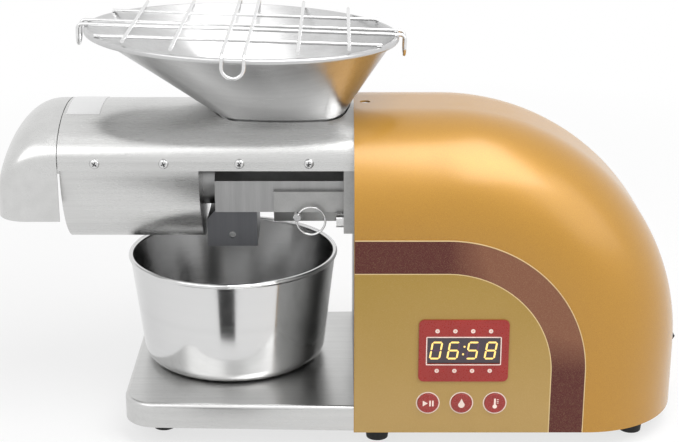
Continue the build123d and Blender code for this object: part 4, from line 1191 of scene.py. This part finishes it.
@dataclass
class Studio:
    """Pale floor and surroundings, soft lamps, a dark card for the metal, and the camera."""

    camera_place: Point = (-0.0045, -0.896, 0.4224)
    camera_pitch: float = 71.32
    lens: float = 80.44
    floor_size: float = 12.0
    fade_start: float = 0.34
    fade_end: float = 0.9
    fade_share: float = 0.7
    room_strength: float = 0.5
    middle: Point = (0.0, 0.0, 0.12)
    card_corners: tuple[Point, ...] = (
        (-0.062, -0.13, 0.001), (-0.025, -0.45, 0.001), (-0.19, -0.45, 0.001), (-0.098, -0.13, 0.001))
    card_tone: float = 0.02

    def build_camera(self) -> None:
        """Put the camera where the photograph was taken from."""
        data = bpy.data.cameras.new("view")
        data.lens = self.lens
        data.sensor_width = 36.0
        data.sensor_fit = "HORIZONTAL"
        data.clip_start = 0.01
        camera = put_in_scene("view", data)
        camera.location = self.camera_place
        camera.rotation_euler = (math.radians(self.camera_pitch), 0.0, 0.0)
        bpy.context.scene.camera = camera

    def build_floor(self) -> None:
        """Lay a pale floor that fades into the background away from the press."""
        mesh = bmesh.new()
        bmesh.ops.create_grid(mesh, x_segments=1, y_segments=1, size=self.floor_size / 2)
        data = bpy.data.meshes.new("floor")
        mesh.to_mesh(data)
        mesh.free()
        floor = put_in_scene("floor", data)
        graph = Graph("floor")
        x, y, _ = graph.axes()
        fade = graph.remap(graph.length(x, y), self.fade_start, self.fade_end, self.fade_share, 1.0)
        share = graph.math("MULTIPLY", fade, graph.seen_directly())
        white = graph.white("ShaderNodeEmission", 1.0)
        faded = graph.mix_shaders(share, graph.shader.outputs["BSDF"], white)
        graph.join(faded, graph.output.inputs["Surface"])
        floor.data.materials.append(graph.shade(base_color=(0.9, 0.9, 0.9), roughness=0.6))
        floor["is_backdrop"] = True

    def build_world(self) -> None:
        """Surround the press with a pale room that is white to the camera and in reflections."""
        world = bpy.data.worlds.new("room")
        bpy.context.scene.world = world
        world.use_nodes = True
        nodes = NodeTree(world.node_tree)
        output = nodes.add("ShaderNodeOutputWorld")
        room = nodes.white("ShaderNodeBackground", self.room_strength)
        backdrop = nodes.white("ShaderNodeBackground", 1.0)
        nodes.join(nodes.mix_shaders(nodes.seen_directly(), room, backdrop), output.inputs["Surface"])

    def lamp(self, name: str, place: Point, target: Point, size: Spot, power: float) -> None:
        """Hang one soft box.

        Args:
            name: Name of the lamp.
            place: Its centre, in metres.
            target: The point it faces.
            size: Its width and height, in metres.
            power: Its power, in watts.
        """
        data = bpy.data.lights.new(name, "AREA")
        data.shape = "RECTANGLE"
        data.size, data.size_y = size
        data.energy = power
        obj = put_in_scene(name, data)
        obj.location = place
        obj.rotation_euler = (Vector(target) - Vector(place)).to_track_quat("-Z", "Y").to_euler()
        obj.visible_camera = False

    def build_card(self) -> None:
        """Lay a dark card that only reflections show, as photographers do to shape bright metal."""
        data = bpy.data.meshes.new("floor_flag")
        data.from_pydata(self.card_corners, [], [range(len(self.card_corners))])
        card = put_in_scene("floor_flag", data)
        data.materials.append(Graph("floor_flag").shade(
            base_color=(0.0, 0.0, 0.0), roughness=1.0, emission_color=(1.0, 1.0, 1.0),
            emission_strength=self.card_tone))
        card.visible_camera = False
        card.visible_shadow = False
        card.visible_diffuse = False
        card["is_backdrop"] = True

    def build(self) -> None:
        """Set up the floor, the room, the lamps, the dark card and the camera."""
        bpy.context.scene.view_settings.view_transform = "Standard"
        self.build_floor()
        self.build_world()
        self.lamp("key_softbox", (-0.9, -1.1, 1.3), self.middle, (1.4, 1.0), 6.0)
        self.lamp("fill_softbox", (1.2, -0.6, 0.9), self.middle, (1.0, 1.0), 4.0)
        self.lamp("housing_softbox", (0.36, -0.35, 1.15), (0.12, 0.0, 0.18), (0.75, 0.9), 10.0)
        self.build_card()
        self.build_camera()


def main() -> None:
    """Load the press, dress each sub-assembly and set up the studio."""
    logging.basicConfig(level=logging.INFO, format="%(name)s: %(message)s")
    press = Press()
    for group in (MotorHousing, ControlPanel, PowerEntry, HoodGroup, PressingChamber, HopperGroup,
                  BowlAndStand, Drive):
        group(press).build()
    Studio().build()


if __name__ == "__main__":
    main()
